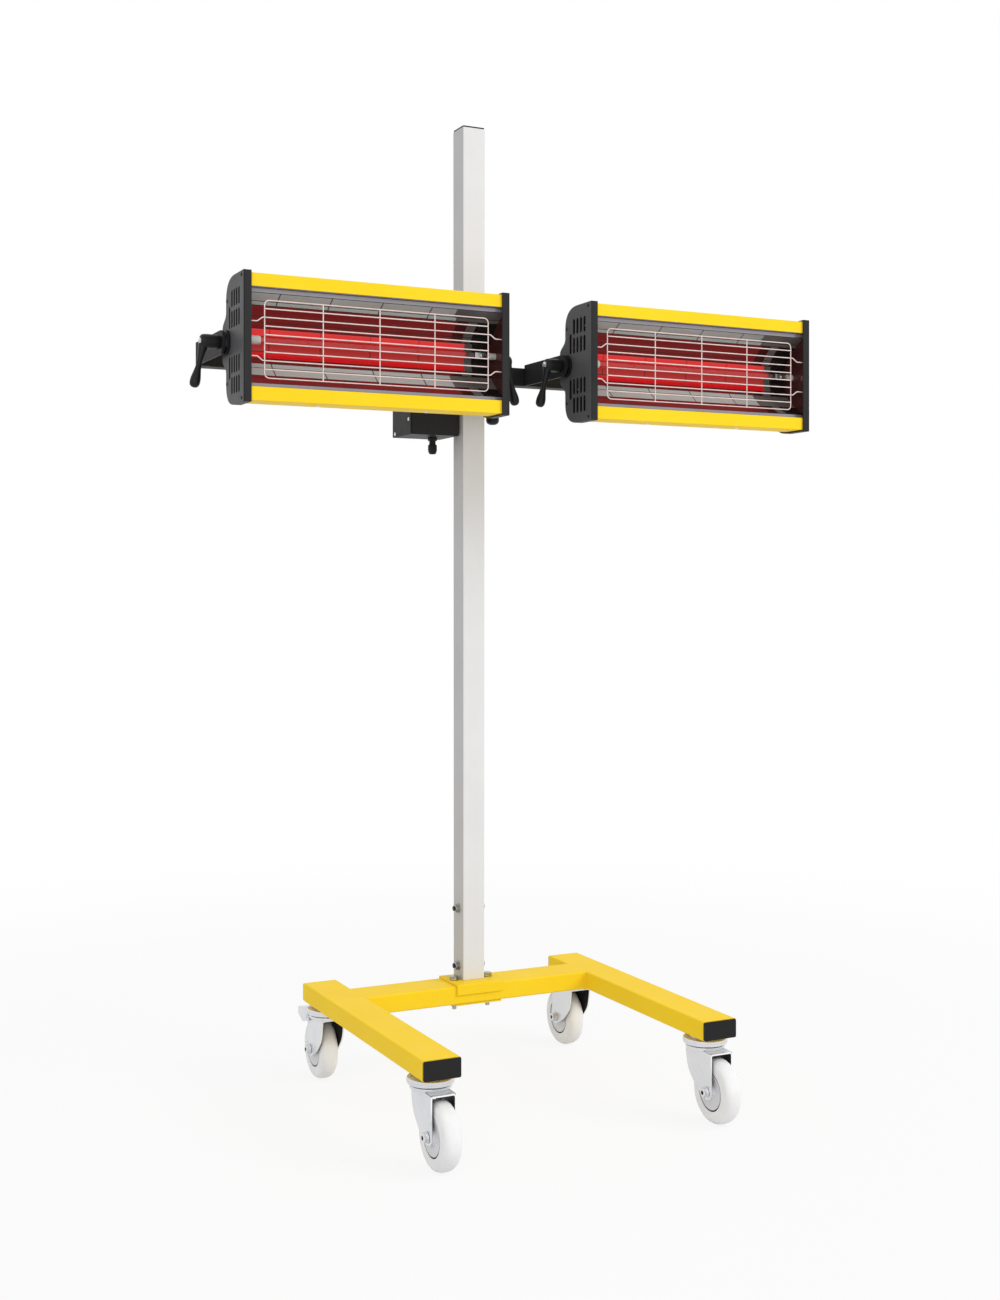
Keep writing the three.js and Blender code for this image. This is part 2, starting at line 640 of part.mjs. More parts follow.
function buildControlBox() {
  const right = -sleeveOuter - seatGap;
  const left = right - boxWidth;
  const front = postY - postSide / 2 + boxFrontBack;
  const back = front + boxDepth;
  const top = boxBottom + boxHeight;
  const bodyLeft = left + boxSheet + seatGap;
  const glandX = right - glandFromRight;
  const glandY = front + glandFromFront;
  const rockerX = (left + right) / 2;
  const rockerZ = boxBottom + boxHeight * rockerRiseShare;
  const body = cut(block([bodyLeft, right], [front, back], [boxBottom, top]),
    block([bodyLeft - overrun, right - boxSheet], [front + boxSheet, back - boxSheet],
      [boxBottom + boxSheet, top - boxSheet]),
    bore('z', glandThreadRadius, [boxBottom - overrun, boxBottom + overrun], [glandX, glandY, 0]),
    block(centred(rockerWidth + 2 * rockerRoom, rockerX), [back - overrun, back + overrun],
      centred(rockerHeight + 2 * rockerRoom, rockerZ)));
  piece('control_box_body', body, blackPaint);

  const gap = boxSheet + seatGap;
  const lidEdge = left + boxSheet + lidTurn;
  const turnedEdge = cut(
    block([left + boxSheet / 2, lidEdge], [front + gap, back - gap], [boxBottom + gap, top - gap]),
    block([left - overrun, lidEdge + overrun], [front + gap + boxSheet, back - gap - boxSheet],
      [boxBottom + gap + boxSheet, top - gap - boxSheet]));
  const lid = join(block([left, left + boxSheet], [front, back], [boxBottom, top]), turnedEdge);
  piece('control_box_lid', lid, blackPaint);

  const under = boxBottom - seatGap;
  const inside = boxBottom + boxSheet + seatGap;
  const rings = glandShares.map(([wide, down]) => [glandRadius * wide, under - glandLength * down]);
  const profile = [[0, under], ...rings, [0, under - glandLength]].reverse();
  const gland = join(
    turned('z', profile, [glandX, glandY, 0], discFacets),
    bar('z', glandThreadRadius, [under - seatGap, inside + glandNut / 2], [glandX, glandY, 0], boltFacets),
    hexBar('z', 2 * glandNut, [inside, inside + glandNut / 2], [glandX, glandY, 0]));
  piece('cable_gland', gland, blackPlastic);

  const pin = back - boxSheet / 2;
  const half = rockerHeight / 2;
  const upper = rockerShares.map(([out, up]) => [pin + rockerDepth * out, rockerZ + half * up]);
  const lower = rockerShares.map(([out, up]) => [pin + rockerDepth * out, rockerZ - half * up]).reverse();
  piece('lamp_switch', drawnAlongX([...lower, ...upper], centred(rockerWidth, rockerX)), blackPlastic);
}

function buildYoke() {
  const middleY = (tubeFrontY + tubeBackY) / 2;
  const inner = tubeSide - 2 * tubeWall;
  const tube = cut(
    join(block(centred(2 * yokeHalf), [tubeFrontY, tubeBackY], centred(tubeSide, tubeZ)),
      bar('y', swivelBossRadius, [tubeBackY - tubeWall / 2, tubeBackY + swivelDisc], [0, 0, tubeZ]),
      bar('y', spigotRadius, [tubeBackY, swivelY - spigotWall / 2], [0, 0, tubeZ])),
    bar('y', spigotRadius - spigotWall, [middleY, swivelY + overrun], [0, 0, tubeZ]),
    block(centred(2 * yokeHalf + overrun), centred(inner, middleY), centred(inner, tubeZ)));
  piece('cross_tube', tube, blackPaint);

  const outline = [];
  for (let i = 0; i <= 2 * arcSteps; i += 1) {
    const angle = (0.5 + i / (2 * arcSteps)) * Math.PI;
    outline.push([pivotY + armHeight / 2 * Math.cos(angle), lampHeight + armHeight / 2 * Math.sin(angle)]);
  }
  const end = tubeFrontY - seatGap;
  outline.push([end, lampHeight - armHeight / 2], [end, lampHeight + armHeight / 2]);
  const hole = bore('x', leverStudRadius, centred(2 * yokeHalf + overrun), [0, pivotY, lampHeight]);
  const inside = cassetteGap / 2 - frictionDisc;
  const outside = yokeHalf - armSheet;
  const arms = [
    ['left', 'outer', -yokeHalf], ['left', 'inner', -inside],
    ['right', 'inner', inside - armSheet], ['right', 'outer', outside]];
  for (const [word, place, x] of arms) {
    piece(`${word}_lamp_arm_${place}`, cut(drawnAlongX(outline, [x, x + armSheet]), hole), blackPaint);
  }
}

// The D-shaped side of a cassette as y and z pairs, about the tilt axis.
function cassetteOutline() {
  const front = -pivotDepth;
  const half = cassetteHeight / 2;
  const shape = new THREE.Shape();
  shape.moveTo(front, -half);
  shape.lineTo(front + flatTopDepth, -half);
  shape.quadraticCurveTo(front + shoulderDepth, -half, front + shoulderDepth, shoulderDrop - half);
  shape.lineTo(front + shoulderDepth, bulgeStart - half);
  const middle = (bulgeStart + bulgeEnd) / 2;
  shape.bezierCurveTo(front + shoulderDepth, middle - half, front + bulgeDepth, middle - half,
    front + bulgeDepth, bulgeEnd - half);
  shape.lineTo(front + bulgeDepth, half - bulgeEnd);
  shape.bezierCurveTo(front + bulgeDepth, half - middle, front + shoulderDepth, half - middle,
    front + shoulderDepth, half - bulgeStart);
  shape.lineTo(front + shoulderDepth, half - shoulderDrop);
  shape.quadraticCurveTo(front + shoulderDepth, half, front + flatTopDepth, half);
  shape.lineTo(front, half);
  return shape.getPoints(arcSteps).map((point) => [point.x, point.y]);
}

// The vent slots of one end cap: rows of upright slots over and under the tilt axis.
function ventSlots(span) {
  const slots = [];
  const half = cassetteHeight / 2;
  for (const [up, margin] of [[-1, ventBottom], [1, ventTop]]) {
    const addSlot = (column, start, height) => {
      const y = ventFirst - pivotDepth + column * ventPitch;
      const z = between(up * (half - start), up * (half - start - height));
      slots.push(block(span, centred(ventWidth, y), z));
    };
    for (let column = 0; column < ventColumns; column += 1) {
      addSlot(column, margin, ventHeight);
      addSlot(column, margin + ventRowPitch, ventHeight);
    }
    addSlot(ventColumns, margin + ventRowPitch + ventHeight - rearVentHeight, rearVentHeight);
  }
  return slots;
}

function buildEndCap(side) {
  const outline = cassetteOutline();
  const outer = side * cassetteWidth / 2;
  const range = (from, to) => between(outer - side * from, outer - side * to);
  const shell = cut(drawnAlongX(outline, range(0, endCapDepth)),
    drawnAlongX(inset(outline, endCapRim), range(endCapSheet, endCapDepth + overrun)),
    ...ventSlots(range(-overrun, endCapSheet + overrun)));
  const collar = frictionDisc * spacerCollarShare;
  const spacer = join(
    bar('x', spacerRadius, range(seatGap - frictionDisc, -collar), [0, 0, 0]),
    bar('x', spacerCollarRadius, range(-collar - endCapSheet, endCapSheet / 2), [0, 0, 0]),
    bar('x', spacerNutRadius, range(endCapSheet / 2, endCapSheet + tiltStudEnd), [0, 0, 0]));
  const hole = bore('x', leverStudRadius, range(-frictionDisc - overrun, 2 * endCapDepth), [0, 0, 0]);
  return cut(join(shell, spacer), hole);
}

function buildHousing() {
  const outline = inset(cassetteOutline(), endCapRim + seatGap);
  const halfWidth = cassetteWidth / 2 - endCapSheet - seatGap;
  const span = [-halfWidth, halfWidth];
  const front = -pivotDepth + endCapRim + seatGap;
  const half = cassetteHeight / 2 - endCapRim - seatGap;
  const shell = cut(drawnAlongX(outline, span),
    drawnAlongX(inset(outline, housingSheet), centred(2 * halfWidth + overrun)),
    block(centred(2 * halfWidth + overrun), [front - overrun, front + overrun],
      [bottomBarHeight - half, half - topBarHeight]));
  const turnedIn = [[bottomBarHeight - half - housingSheet, bottomBarHeight - half],
    [half - topBarHeight, half - topBarHeight + housingSheet]];
  return join(shell, ...turnedIn.map((z) => block(span, [front + housingSheet / 2, front + barReturn], z)));
}

// A bright trough of flat facets behind the emitter.
function buildReflector() {
  const half = cassetteHeight / 2 - endCapRim - seatGap;
  const openHalf = half - bottomBarHeight - seatGap;
  const front = -pivotDepth + reflectorFront;
  const upper = reflectorShares.map(([deep, high]) => [front + reflectorDepth * deep, openHalf * high]);
  const face = [...upper, ...upper.map(([y, z]) => [y, -z]).reverse()];
  const back = inset(face, reflectorSheet);
  back[0][0] = front;
  back[back.length - 1][0] = front;
  const halfWidth = cassetteWidth / 2 - endCapSheet - seatGap;
  return drawnAlongX([...face].reverse().concat(back), [seatGap - halfWidth, halfWidth - seatGap]);
}

function buildEmitter() {
  const y = emitterDepth - pivotDepth;
  const end = cassetteWidth / 2 - endCapSheet - seatGap;
  const ceramics = [[-end, ceramicLength - end], [end - ceramicLength, end]].map((span) =>
    bar('x', ceramicRadius, span, [0, y, 0], boltFacets));
  return join(bar('x', emitterRadius, centred(2 * end - ceramicLength), [0, y, 0], boltFacets), ...ceramics);
}

function roundedRectangle(width, height, radius) {
  const shape = new THREE.Shape();
  const [a, b] = [width / 2, height / 2];
  shape.moveTo(-a + radius, -b);
  shape.lineTo(a - radius, -b);
  shape.absarc(a - radius, -b + radius, radius, -Math.PI / 2, 0);
  shape.lineTo(a, b - radius);
  shape.absarc(a - radius, b - radius, radius, 0, Math.PI / 2);
  shape.lineTo(-a + radius, b);
  shape.absarc(-a + radius, b - radius, radius, Math.PI / 2, Math.PI);
  shape.lineTo(-a, -b + radius);
  shape.absarc(-a + radius, -b + radius, radius, Math.PI, 1.5 * Math.PI);
  return shape;
}

// A wire grid welded in a rounded frame; two of its bars run on to each end cap with a small jog.
function buildGuard() {
  const y = guardDepth - pivotDepth;
  const frameY = [y, y + wireWidth];
  const ring = (grow) => roundedRectangle(guardWidth + grow, guardHeight + grow, guardCorner + grow / 2);
  const frameShape = ring(wireWidth);
  frameShape.holes.push(ring(-wireWidth));
  const parts = [drawnAlongY(frameShape, frameY)];
  const uprightSpan = centred(guardHeight + wireWidth / 2);
  for (let i = 1; i < guardUprights - 1; i += 1) {
    const x = -guardWidth / 2 + guardWidth * i / (guardUprights - 1);
    parts.push(bar('z', wireWidth / 2, uprightSpan, [x, y + wireWidth / 2, 0], wireFacets));
  }
  const pitch = guardHeight / (guardBars - 1);
  const barY = y - wireWidth / 4;
  for (let i = 1; i < guardBars - 1; i += 1) {
    const z = guardHeight / 2 - pitch * i;
    parts.push(bar('x', wireWidth / 2, centred(guardWidth + wireWidth / 2), [0, barY, z], wireFacets));
  }
  const section = shapeOf(Array.from({ length: wireFacets }, (_, i) => {
    const angle = 2 * Math.PI * i / wireFacets;
    return [wireWidth / 2 * Math.cos(angle), wireWidth / 2 * Math.sin(angle)];
  }));
  const reach = cassetteWidth / 2 - endCapSheet - seatGap;
  const start = guardWidth / 2 - wireWidth;
  const run = reach - start;
  for (const side of [-1, 1]) {
    for (const up of [-1, 1]) {
      const z = up * (guardHeight / 2 - 2 * pitch);
      const path = new THREE.CatmullRomCurve3(jogShares.map(([along, down]) =>
        new THREE.Vector3(side * (start + run * along), barY, z - up * guardJog * down)));
      const options = { steps: 2 * arcSteps, extrudePath: path, bevelEnabled: false };
      parts.push(solidOf(new THREE.ExtrudeGeometry(section, options)));
    }
  }
  return join(...parts);
}

function buildCassette(word, x) {
  const cassette = groupAt(x, pivotY, lampHeight);
  piece(`${word}_lamp_housing`, buildHousing(), yellowPaint, cassette);
  piece(`${word}_lamp_reflector`, buildReflector(), polished, cassette);
  piece(`${word}_lamp_emitter`, buildEmitter(), glowing, cassette);
  piece(`${word}_lamp_guard`, buildGuard(), wire, cassette);
  for (const [side, end] of [[-1, 'left'], [1, 'right']]) {
    piece(`${word}_lamp_end_cap_${end}`, buildEndCap(side), blackPaint, cassette);
    const armFace = cassetteWidth / 2 + frictionDisc + armSheet;
    const place = groupAt(side * armFace, 0, 0, cassette);
    if (side < 0) place.rotation.z = Math.PI;
    const lever = buildLever({
      hubLength: tiltLeverHub,
      length: tiltLeverLength,
      ballRadius: tiltLeverBallRadius,
      slant: tiltLeverSlant,
      studLength: armSheet + frictionDisc + endCapSheet + tiltStudEnd,
    });
    piece(`${word}_lamp_lever_${end}`, lever, blackPlastic, place);
  }
}

buildBase();
buildPost();
for (const [x, side] of [[-legX, 'left'], [legX, 'right']]) {
  buildCaster(`front_${side}`, x, -1, false);
  buildCaster(`rear_${side}`, x, 1, true);
}
buildCarriage();
buildControlBox();
buildYoke();
buildCassette('left', -cassetteX);
buildCassette('right', cassetteX);

export default lamp;
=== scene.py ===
"""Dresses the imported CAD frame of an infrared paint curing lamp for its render.

Everything is in metres, in the frame's axes: +Z up along the post, -Y the way the lamps face.
"""

from __future__ import annotations

import logging
import math
from collections.abc import Callable, Iterable, Sequence
from dataclasses import dataclass, field, replace
from enum import Enum

import bmesh
import bpy
from mathutils import Matrix, Vector

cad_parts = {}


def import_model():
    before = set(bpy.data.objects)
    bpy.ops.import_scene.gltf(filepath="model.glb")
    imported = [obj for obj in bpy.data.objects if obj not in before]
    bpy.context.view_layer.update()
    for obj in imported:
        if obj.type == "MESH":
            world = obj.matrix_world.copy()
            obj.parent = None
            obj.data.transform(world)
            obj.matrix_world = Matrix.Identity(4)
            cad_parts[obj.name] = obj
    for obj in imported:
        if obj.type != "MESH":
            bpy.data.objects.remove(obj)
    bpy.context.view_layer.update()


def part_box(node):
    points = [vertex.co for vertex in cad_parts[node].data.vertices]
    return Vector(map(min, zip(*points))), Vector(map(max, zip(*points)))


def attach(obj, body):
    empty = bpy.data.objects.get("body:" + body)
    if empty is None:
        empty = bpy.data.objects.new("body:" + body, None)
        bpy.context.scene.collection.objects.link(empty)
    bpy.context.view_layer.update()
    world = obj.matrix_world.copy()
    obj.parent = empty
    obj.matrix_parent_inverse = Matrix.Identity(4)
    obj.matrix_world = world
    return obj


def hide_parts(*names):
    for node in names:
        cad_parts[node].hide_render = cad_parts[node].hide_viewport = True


LOG = logging.getLogger("curing_lamp")
TOUCHING = 1e-5
SEAT_GAP = 0.0003
FLAT_ANGLE = math.radians(1.0)
SMOOTH_ANGLE = math.radians(32.0)
OUTER_ANGLE = math.radians(60.0)
ALONG_SHARE = 0.999
CORNER_STEPS = 5
SLOT_STEPS = 6
WELD_VALLEY = 0.86
WELD_END = 0.8
COAT_ROUGHNESS = 0.12
COLOUR_SPAN = (0.35, 0.75)
COLOUR_DETAIL = 4.0
ROUGHNESS_SPAN = (0.3, 0.7)
ROUGHNESS_DETAIL = 5.0
ROUGHNESS_PATCHES = 4.0
RELIEF_DETAIL = 2.0
RELIEF_STRENGTH = 0.6
SIDES = {"left": -1.0, "right": 1.0}
CASTERS = {"front_left": -1.0, "front_right": -1.0, "rear_left": 1.0, "rear_right": 1.0}

Pair = tuple[float, float]
Section = tuple[Pair, ...]
FlatBar = tuple[float, float, float, float]
Colour = tuple[int, int, int]
Item = bmesh.types.BMVert | bmesh.types.BMEdge | bmesh.types.BMFace


class Axis(Enum):
    """The frame's axis that a turned, swept or extruded piece runs along."""

    X = (1.0, 0.0, 0.0)
    Y = (0.0, 1.0, 0.0)
    Z = (0.0, 0.0, 1.0)

    def turn(self) -> Matrix:
        """Returns the turn that takes local +Z to this axis."""
        up = Vector(Axis.Z.value)
        return up.rotation_difference(Vector(self.value)).to_matrix().to_4x4()

    def spot(self, u: float, v: float, along: float) -> Vector:
        """Places a point of a flat outline in space, at a place along this axis."""
        spots = {Axis.X: (along, u, v), Axis.Y: (u, along, v), Axis.Z: (u, v, along)}
        return Vector(spots[self])


class Grain(Enum):
    """The fine relief of a finish, as a stretch of its noise along X, Y and Z."""

    EVEN = (1.0, 1.0, 1.0)
    ALONG_X = (0.02, 1.0, 1.0)
    ALONG_Z = (1.0, 1.0, 0.015)


class Rounded(Enum):
    """What a rounding works on, as the operator calls it."""

    EDGES = "EDGES"
    CORNERS = "VERTICES"


class PaintedBand(Enum):
    """A strip of the reflector by the light painted on it: painted reflections of the lit emitter and of the
    room, and painted shade, by its place in the trough's finishes.
    """

    ROOM = 0
    FOLD = 1
    END = 2
    LIP = 3
    SHADE = 4
    DIM = 5
    MID = 6
    BRIGHT = 7
    DEEP = 8
    STRIP = 9
    UNLIT = 10
    DUSK = 11


def linear(colour: Colour) -> tuple[float, ...]:
    """Turns a colour of 0 to 255 into the shader's linear values, with an alpha of 1."""
    shares = [channel / 255.0 for channel in colour]
    return (*[s / 12.92 if s <= 0.04045 else ((s + 0.055) / 1.055) ** 2.4 for s in shares], 1.0)


def ranged(tree: bpy.types.NodeTree, value: bpy.types.NodeSocket, span: Pair, result: Pair = (0.0, 1.0),
           smooth: bool = False) -> bpy.types.NodeSocket:
    """Maps a value from one span to another.

    Args:
        tree: Node tree of the material.
        value: Socket of the value.
        span: Lowest and highest value that count.
        result: What those become.
        smooth: Whether the change starts and ends softly.

    Returns:
        Socket of the mapped value.
    """
    node = tree.nodes.new("ShaderNodeMapRange")
    node.interpolation_type = "SMOOTHSTEP" if smooth else "LINEAR"
    for name, number in zip(("From Min", "From Max", "To Min", "To Max"), (*span, *result)):
        node.inputs[name].default_value = number
    tree.links.new(value, node.inputs["Value"])
    return node.outputs["Result"]


def chosen_rays(tree: bpy.types.NodeTree, rays: Sequence[str]) -> bpy.types.NodeSocket:
    """Tells chosen kinds of rays from the others.

    Args:
        tree: Node tree of the material or world.
        rays: Names of the kinds.

    Returns:
        Socket that is 1 for those rays and 0 for others.
    """
    path = tree.nodes.new("ShaderNodeLightPath")
    shown = path.outputs[rays[0]]
    for ray in rays[1:]:
        either = tree.nodes.new("ShaderNodeMath")
        either.operation = "MAXIMUM"
        tree.links.new(shown, either.inputs[0])
        tree.links.new(path.outputs[ray], either.inputs[1])
        shown = either.outputs["Value"]
    return shown


@dataclass(frozen=True)
class Finish:
    """One surface finish, built as a node material.

    Attributes:
        name: Name of the material.
        slot: Material slot of the record that it stands for; not used.
        colour: Main colour.
        second: Colour that slow, soft patches lean to.
        metallic: Share of metal.
        roughness: Roughness of the smoothest and the roughest patches.
        specular: Specular level of the surface under its coat.
        coat: Weight of the clear coat.
        grain: Stretch of the fine relief.
        grain_scale: Grains per metre.
        grain_depth: Depth of the fine relief.
        grain_tint: How much the fine relief also shades the colour.
        patch_scale: Slow patches per metre.
        glow: Colour of its own light, if any: the emitter's glow, and the painted glow of the reflector's
            strips.
        glow_strength: Strength of its own light.
    """

    name: str
    slot: str
    colour: Colour
    second: Colour
    metallic: float = 0.0
    roughness: Pair = (0.35, 0.45)
    specular: float = 0.5
    coat: float = 0.0
    grain: Grain = Grain.EVEN
    grain_scale: float = 900.0
    grain_depth: float = 0.00004
    grain_tint: float = 0.0
    patch_scale: float = 9.0
    glow: Colour | None = None
    glow_strength: float = 0.0

    def material(self) -> bpy.types.Material:
        """Builds this finish's material once.

        Returns:
            The material.
        """
        known = bpy.data.materials.get(self.name)
        if known is not None:
            return known
        made = bpy.data.materials.new(self.name)
        made.use_nodes = True
        tree = made.node_tree
        shader = tree.nodes["Principled BSDF"]
        self._colour_nodes(tree, shader)
        self._relief_nodes(tree, shader)
        shader.inputs["Metallic"].default_value = self.metallic
        shader.inputs["Specular IOR Level"].default_value = self.specular
        shader.inputs["Coat Weight"].default_value = self.coat
        shader.inputs["Coat Roughness"].default_value = COAT_ROUGHNESS
        if self.glow is not None:
            shader.inputs["Emission Color"].default_value = linear(self.glow)
            shader.inputs["Emission Strength"].default_value = self.glow_strength
        return made

    def _noise(self, tree: bpy.types.NodeTree, scale: float, grain: Grain, detail: float) -> bpy.types.Node:
        """Adds a noise on object coordinates.

        Args:
            tree: Node tree of the material.
            scale: Patches or grains per metre.
            grain: Stretch of the noise.
            detail: Octaves of the noise.

        Returns:
            The noise node.
        """
        place = tree.nodes.new("ShaderNodeTexCoord")
        mapping = tree.nodes.new("ShaderNodeMapping")
        mapping.inputs["Scale"].default_value = Vector(grain.value) * scale
        noise = tree.nodes.new("ShaderNodeTexNoise")
        noise.inputs["Scale"].default_value = 1.0
        noise.inputs["Detail"].default_value = detail
        tree.links.new(place.outputs["Object"], mapping.inputs["Vector"])
        tree.links.new(mapping.outputs["Vector"], noise.inputs["Vector"])
        return noise

    def _colour_nodes(self, tree: bpy.types.NodeTree, shader: bpy.types.Node) -> None:
        """Varies the colour in slow patches and the roughness in smaller ones.

        Args:
            tree: Node tree of the material.
            shader: Its shader.
        """
        patches = self._noise(tree, self.patch_scale, Grain.EVEN, COLOUR_DETAIL)
        blend = tree.nodes.new("ShaderNodeMix")
        blend.data_type = "RGBA"
        blend.inputs[6].default_value = linear(self.colour)
        blend.inputs[7].default_value = linear(self.second)
        tree.links.new(ranged(tree, patches.outputs["Fac"], COLOUR_SPAN), blend.inputs[0])
        tree.links.new(blend.outputs[2], shader.inputs["Base Color"])
        drift = self._noise(tree, self.patch_scale * ROUGHNESS_PATCHES, self.grain, ROUGHNESS_DETAIL)
        rough = ranged(tree, drift.outputs["Fac"], ROUGHNESS_SPAN, self.roughness)
        tree.links.new(rough, shader.inputs["Roughness"])

    def _relief_nodes(self, tree: bpy.types.NodeTree, shader: bpy.types.Node) -> None:
        """Adds the fine relief.

        Args:
            tree: Node tree of the material.
            shader: Its shader.
        """
        grains = self._noise(tree, self.grain_scale, self.grain, RELIEF_DETAIL)
        bump = tree.nodes.new("ShaderNodeBump")
        bump.inputs["Strength"].default_value = RELIEF_STRENGTH
        bump.inputs["Distance"].default_value = self.grain_depth
        tree.links.new(grains.outputs["Fac"], bump.inputs["Height"])
        tree.links.new(bump.outputs["Normal"], shader.inputs["Normal"])
        if self.grain_tint > 0.0:
            source = shader.inputs["Base Color"].links[0].from_socket
            shade = tree.nodes.new("ShaderNodeMix")
            shade.data_type = "RGBA"
            shade.blend_type = "MULTIPLY"
            shade.inputs[0].default_value = self.grain_tint
            tree.links.new(source, shade.inputs[6])
            tree.links.new(grains.outputs["Fac"], shade.inputs[7])
            tree.links.new(shade.outputs[2], shader.inputs["Base Color"])


@dataclass(frozen=True)
class GlowingTube(Finish):
    """Quartz that glows brighter towards the reflector than towards the room.

    Attributes:
        axis_depth: Y of the tube's axis.
        turn_on: Y, from the axis, between which the glow grows.
        strengths: Glow towards the room and towards the reflector.
    """

    axis_depth: float = -0.0961
    turn_on: Pair = (0.0, 0.003)
    strengths: Pair = (0.21, 0.65)

    def material(self) -> bpy.types.Material:
        """Builds the material with its one-sided glow.

        Returns:
            The material.
        """
        known = bpy.data.materials.get(self.name)
        if known is not None:
            return known
        made = super().material()
        tree = made.node_tree
        place = tree.nodes.new("ShaderNodeTexCoord")
        split = tree.nodes.new("ShaderNodeSeparateXYZ")
        tree.links.new(place.outputs["Object"], split.inputs["Vector"])
        span = (self.axis_depth + self.turn_on[0], self.axis_depth + self.turn_on[1])
        growth = ranged(tree, split.outputs["Y"], span, self.strengths, smooth=True)
        tree.links.new(growth, tree.nodes["Principled BSDF"].inputs["Emission Strength"])
        return made


YELLOW_PAINT = Finish("yellow_powder_paint", "yellow_paint", (249, 209, 38), (252, 214, 44),
                      roughness=(0.4, 0.5), specular=0.06, grain_scale=1400.0, grain_depth=0.00003)
BLACK_PAINT = Finish("black_powder_paint", "black_paint", (36, 36, 37), (41, 41, 42),
                     roughness=(0.4, 0.5), specular=0.06, grain_scale=1600.0)
SATIN_BLACK = replace(BLACK_PAINT, name="satin_black_paint", colour=(46, 46, 47), second=(52, 52, 53),
                      specular=0.08)
# A lighter copy of the black paint for the end caps' outer faces: painted light.
CAP_FACE_LIGHT = replace(BLACK_PAINT, name="black_cap_face_painted_light", colour=(79, 79, 81), second=(85, 85, 87),
                   specular=0.11)
BLACK_PLASTIC = Finish("black_moulded_plastic", "black_plastic", (24, 24, 25), (30, 30, 31),
                       roughness=(0.3, 0.42), specular=0.2, grain_scale=2400.0, grain_depth=0.00002)
DARK_GROOVE = Finish("dark_groove", "black_plastic", (20, 20, 42), (14, 14, 30),
                     roughness=(0.5, 0.6), specular=0.1)
# Near black for the housing's inner faces, on the yellow paint's slot: painted shade inside the lamp.
HOUSING_INSIDE_SHADE = Finish("housing_inside_painted_shade", "yellow_paint", (16, 15, 14), (10, 10, 10), metallic=0.1,
                    roughness=(0.6, 0.7), specular=0.08, grain_scale=700.0, patch_scale=30.0)
ALUMINIUM = Finish("satin_anodised_aluminium", "aluminium", (226, 226, 227), (231, 231, 231),
                   metallic=0.12, roughness=(0.4, 0.5), specular=0.2, grain=Grain.ALONG_Z,
                   grain_scale=2600.0, grain_depth=0.00002, grain_tint=0.05)
# A darker copy of the aluminium for the post's side faces: painted shade.
ALUMINIUM_SIDE_SHADE = replace(ALUMINIUM, name="aluminium_side_painted_shade", colour=(192, 192, 194),
                         second=(198, 198, 200), roughness=(0.45, 0.55), specular=0.12, grain_tint=0.06)
ZINC = Finish("bright_zinc_plate", "zinc_plate", (226, 227, 230), (216, 218, 222), metallic=0.65,
              roughness=(0.22, 0.28), grain_scale=90.0, grain_depth=0.000002, patch_scale=14.0)
# A lighter copy of the zinc for the fork's sheet edges: painted highlight.
ZINC_EDGE_HIGHLIGHT = replace(ZINC, name="zinc_edge_painted_highlight", colour=(250, 250, 252), second=(242, 242, 247),
                    metallic=0.2, roughness=(0.28, 0.36), patch_scale=40.0)
# A dark copy of the zinc for the fork's inside and underside and the ring on its dish: painted shade.
ZINC_SHADE = Finish("zinc_inside_painted_shade", "zinc_plate", (58, 58, 61), (40, 40, 43), metallic=0.4,
                    roughness=(0.45, 0.6), specular=0.15, grain_scale=300.0, patch_scale=40.0)
ZINC_BOLT = Finish("zinc_plated_bolt", "zinc_steel", (188, 188, 185), (146, 146, 143), metallic=1.0,
                   roughness=(0.12, 0.24), grain_depth=0.00003, patch_scale=260.0)
# A dark copy of the bolt's zinc for the post bolts' thread ends: painted shade.
THREAD_END_SHADE = replace(ZINC_BOLT, name="thread_end_painted_shade", colour=(40, 39, 38), second=(26, 25, 25),
                     metallic=0.6, roughness=(0.35, 0.5), patch_scale=200.0)
NYLON = Finish("white_nylon", "nylon", (241, 241, 241), (233, 233, 234), roughness=(0.3, 0.42),
               grain_scale=1200.0, grain_depth=0.00003, patch_scale=30.0)
NYLON_HUB = replace(NYLON, name="grey_nylon_hub", colour=(222, 222, 226), second=(212, 212, 217),
                    roughness=(0.35, 0.5))
QUARTZ = GlowingTube("glowing_ruby_quartz", "quartz", (120, 6, 8), (150, 10, 10), roughness=(0.05, 0.1),
                     coat=0.5, grain_scale=60.0, grain_depth=0.00001, patch_scale=25.0,
                     glow=(255, 46, 44), glow_strength=1.0)
PINCH = Finish("dark_pinched_quartz", "quartz", (60, 20, 20), (40, 16, 16), roughness=(0.1, 0.2),
               coat=0.4, grain_scale=200.0, grain_depth=0.00001, patch_scale=60.0)
CERAMIC = Finish("white_ceramic_holder", "quartz", (214, 212, 206), (196, 194, 188),
                 roughness=(0.5, 0.65), grain_scale=1500.0, patch_scale=90.0)
TERMINAL = Finish("nickel_terminal", "zinc_steel", (200, 200, 198), (168, 168, 170), metallic=1.0,
                  roughness=(0.16, 0.3), patch_scale=150.0)
# The guard wire's pink tint is the emitter's red light painted on its silver.
WIRE = Finish("guard_wire_painted_glow", "guard_wire", (238, 220, 214), (222, 200, 195), metallic=0.2,
              roughness=(0.26, 0.36), grain_scale=600.0, grain_depth=0.00002, patch_scale=80.0)
# The polished sheet's grey is a painted reflection of the room, tinted green against the pink of the
# emitter's light on it.
SHEET = Finish("reflector_sheet", "polished_reflector", (188, 206, 200), (178, 196, 190), metallic=0.2,
               roughness=(0.2, 0.3), grain=Grain.ALONG_X, grain_scale=500.0, grain_depth=0.000002,
               patch_scale=14.0)
# Painted shade along each fold's crease, and painted dark reflection lines across the strips.
PAINTED_DARK_LINE = replace(SHEET, name="reflector_painted_dark_line", colour=(46, 43, 42), second=(34, 32, 31),
                    metallic=0.3, roughness=(0.3, 0.4))
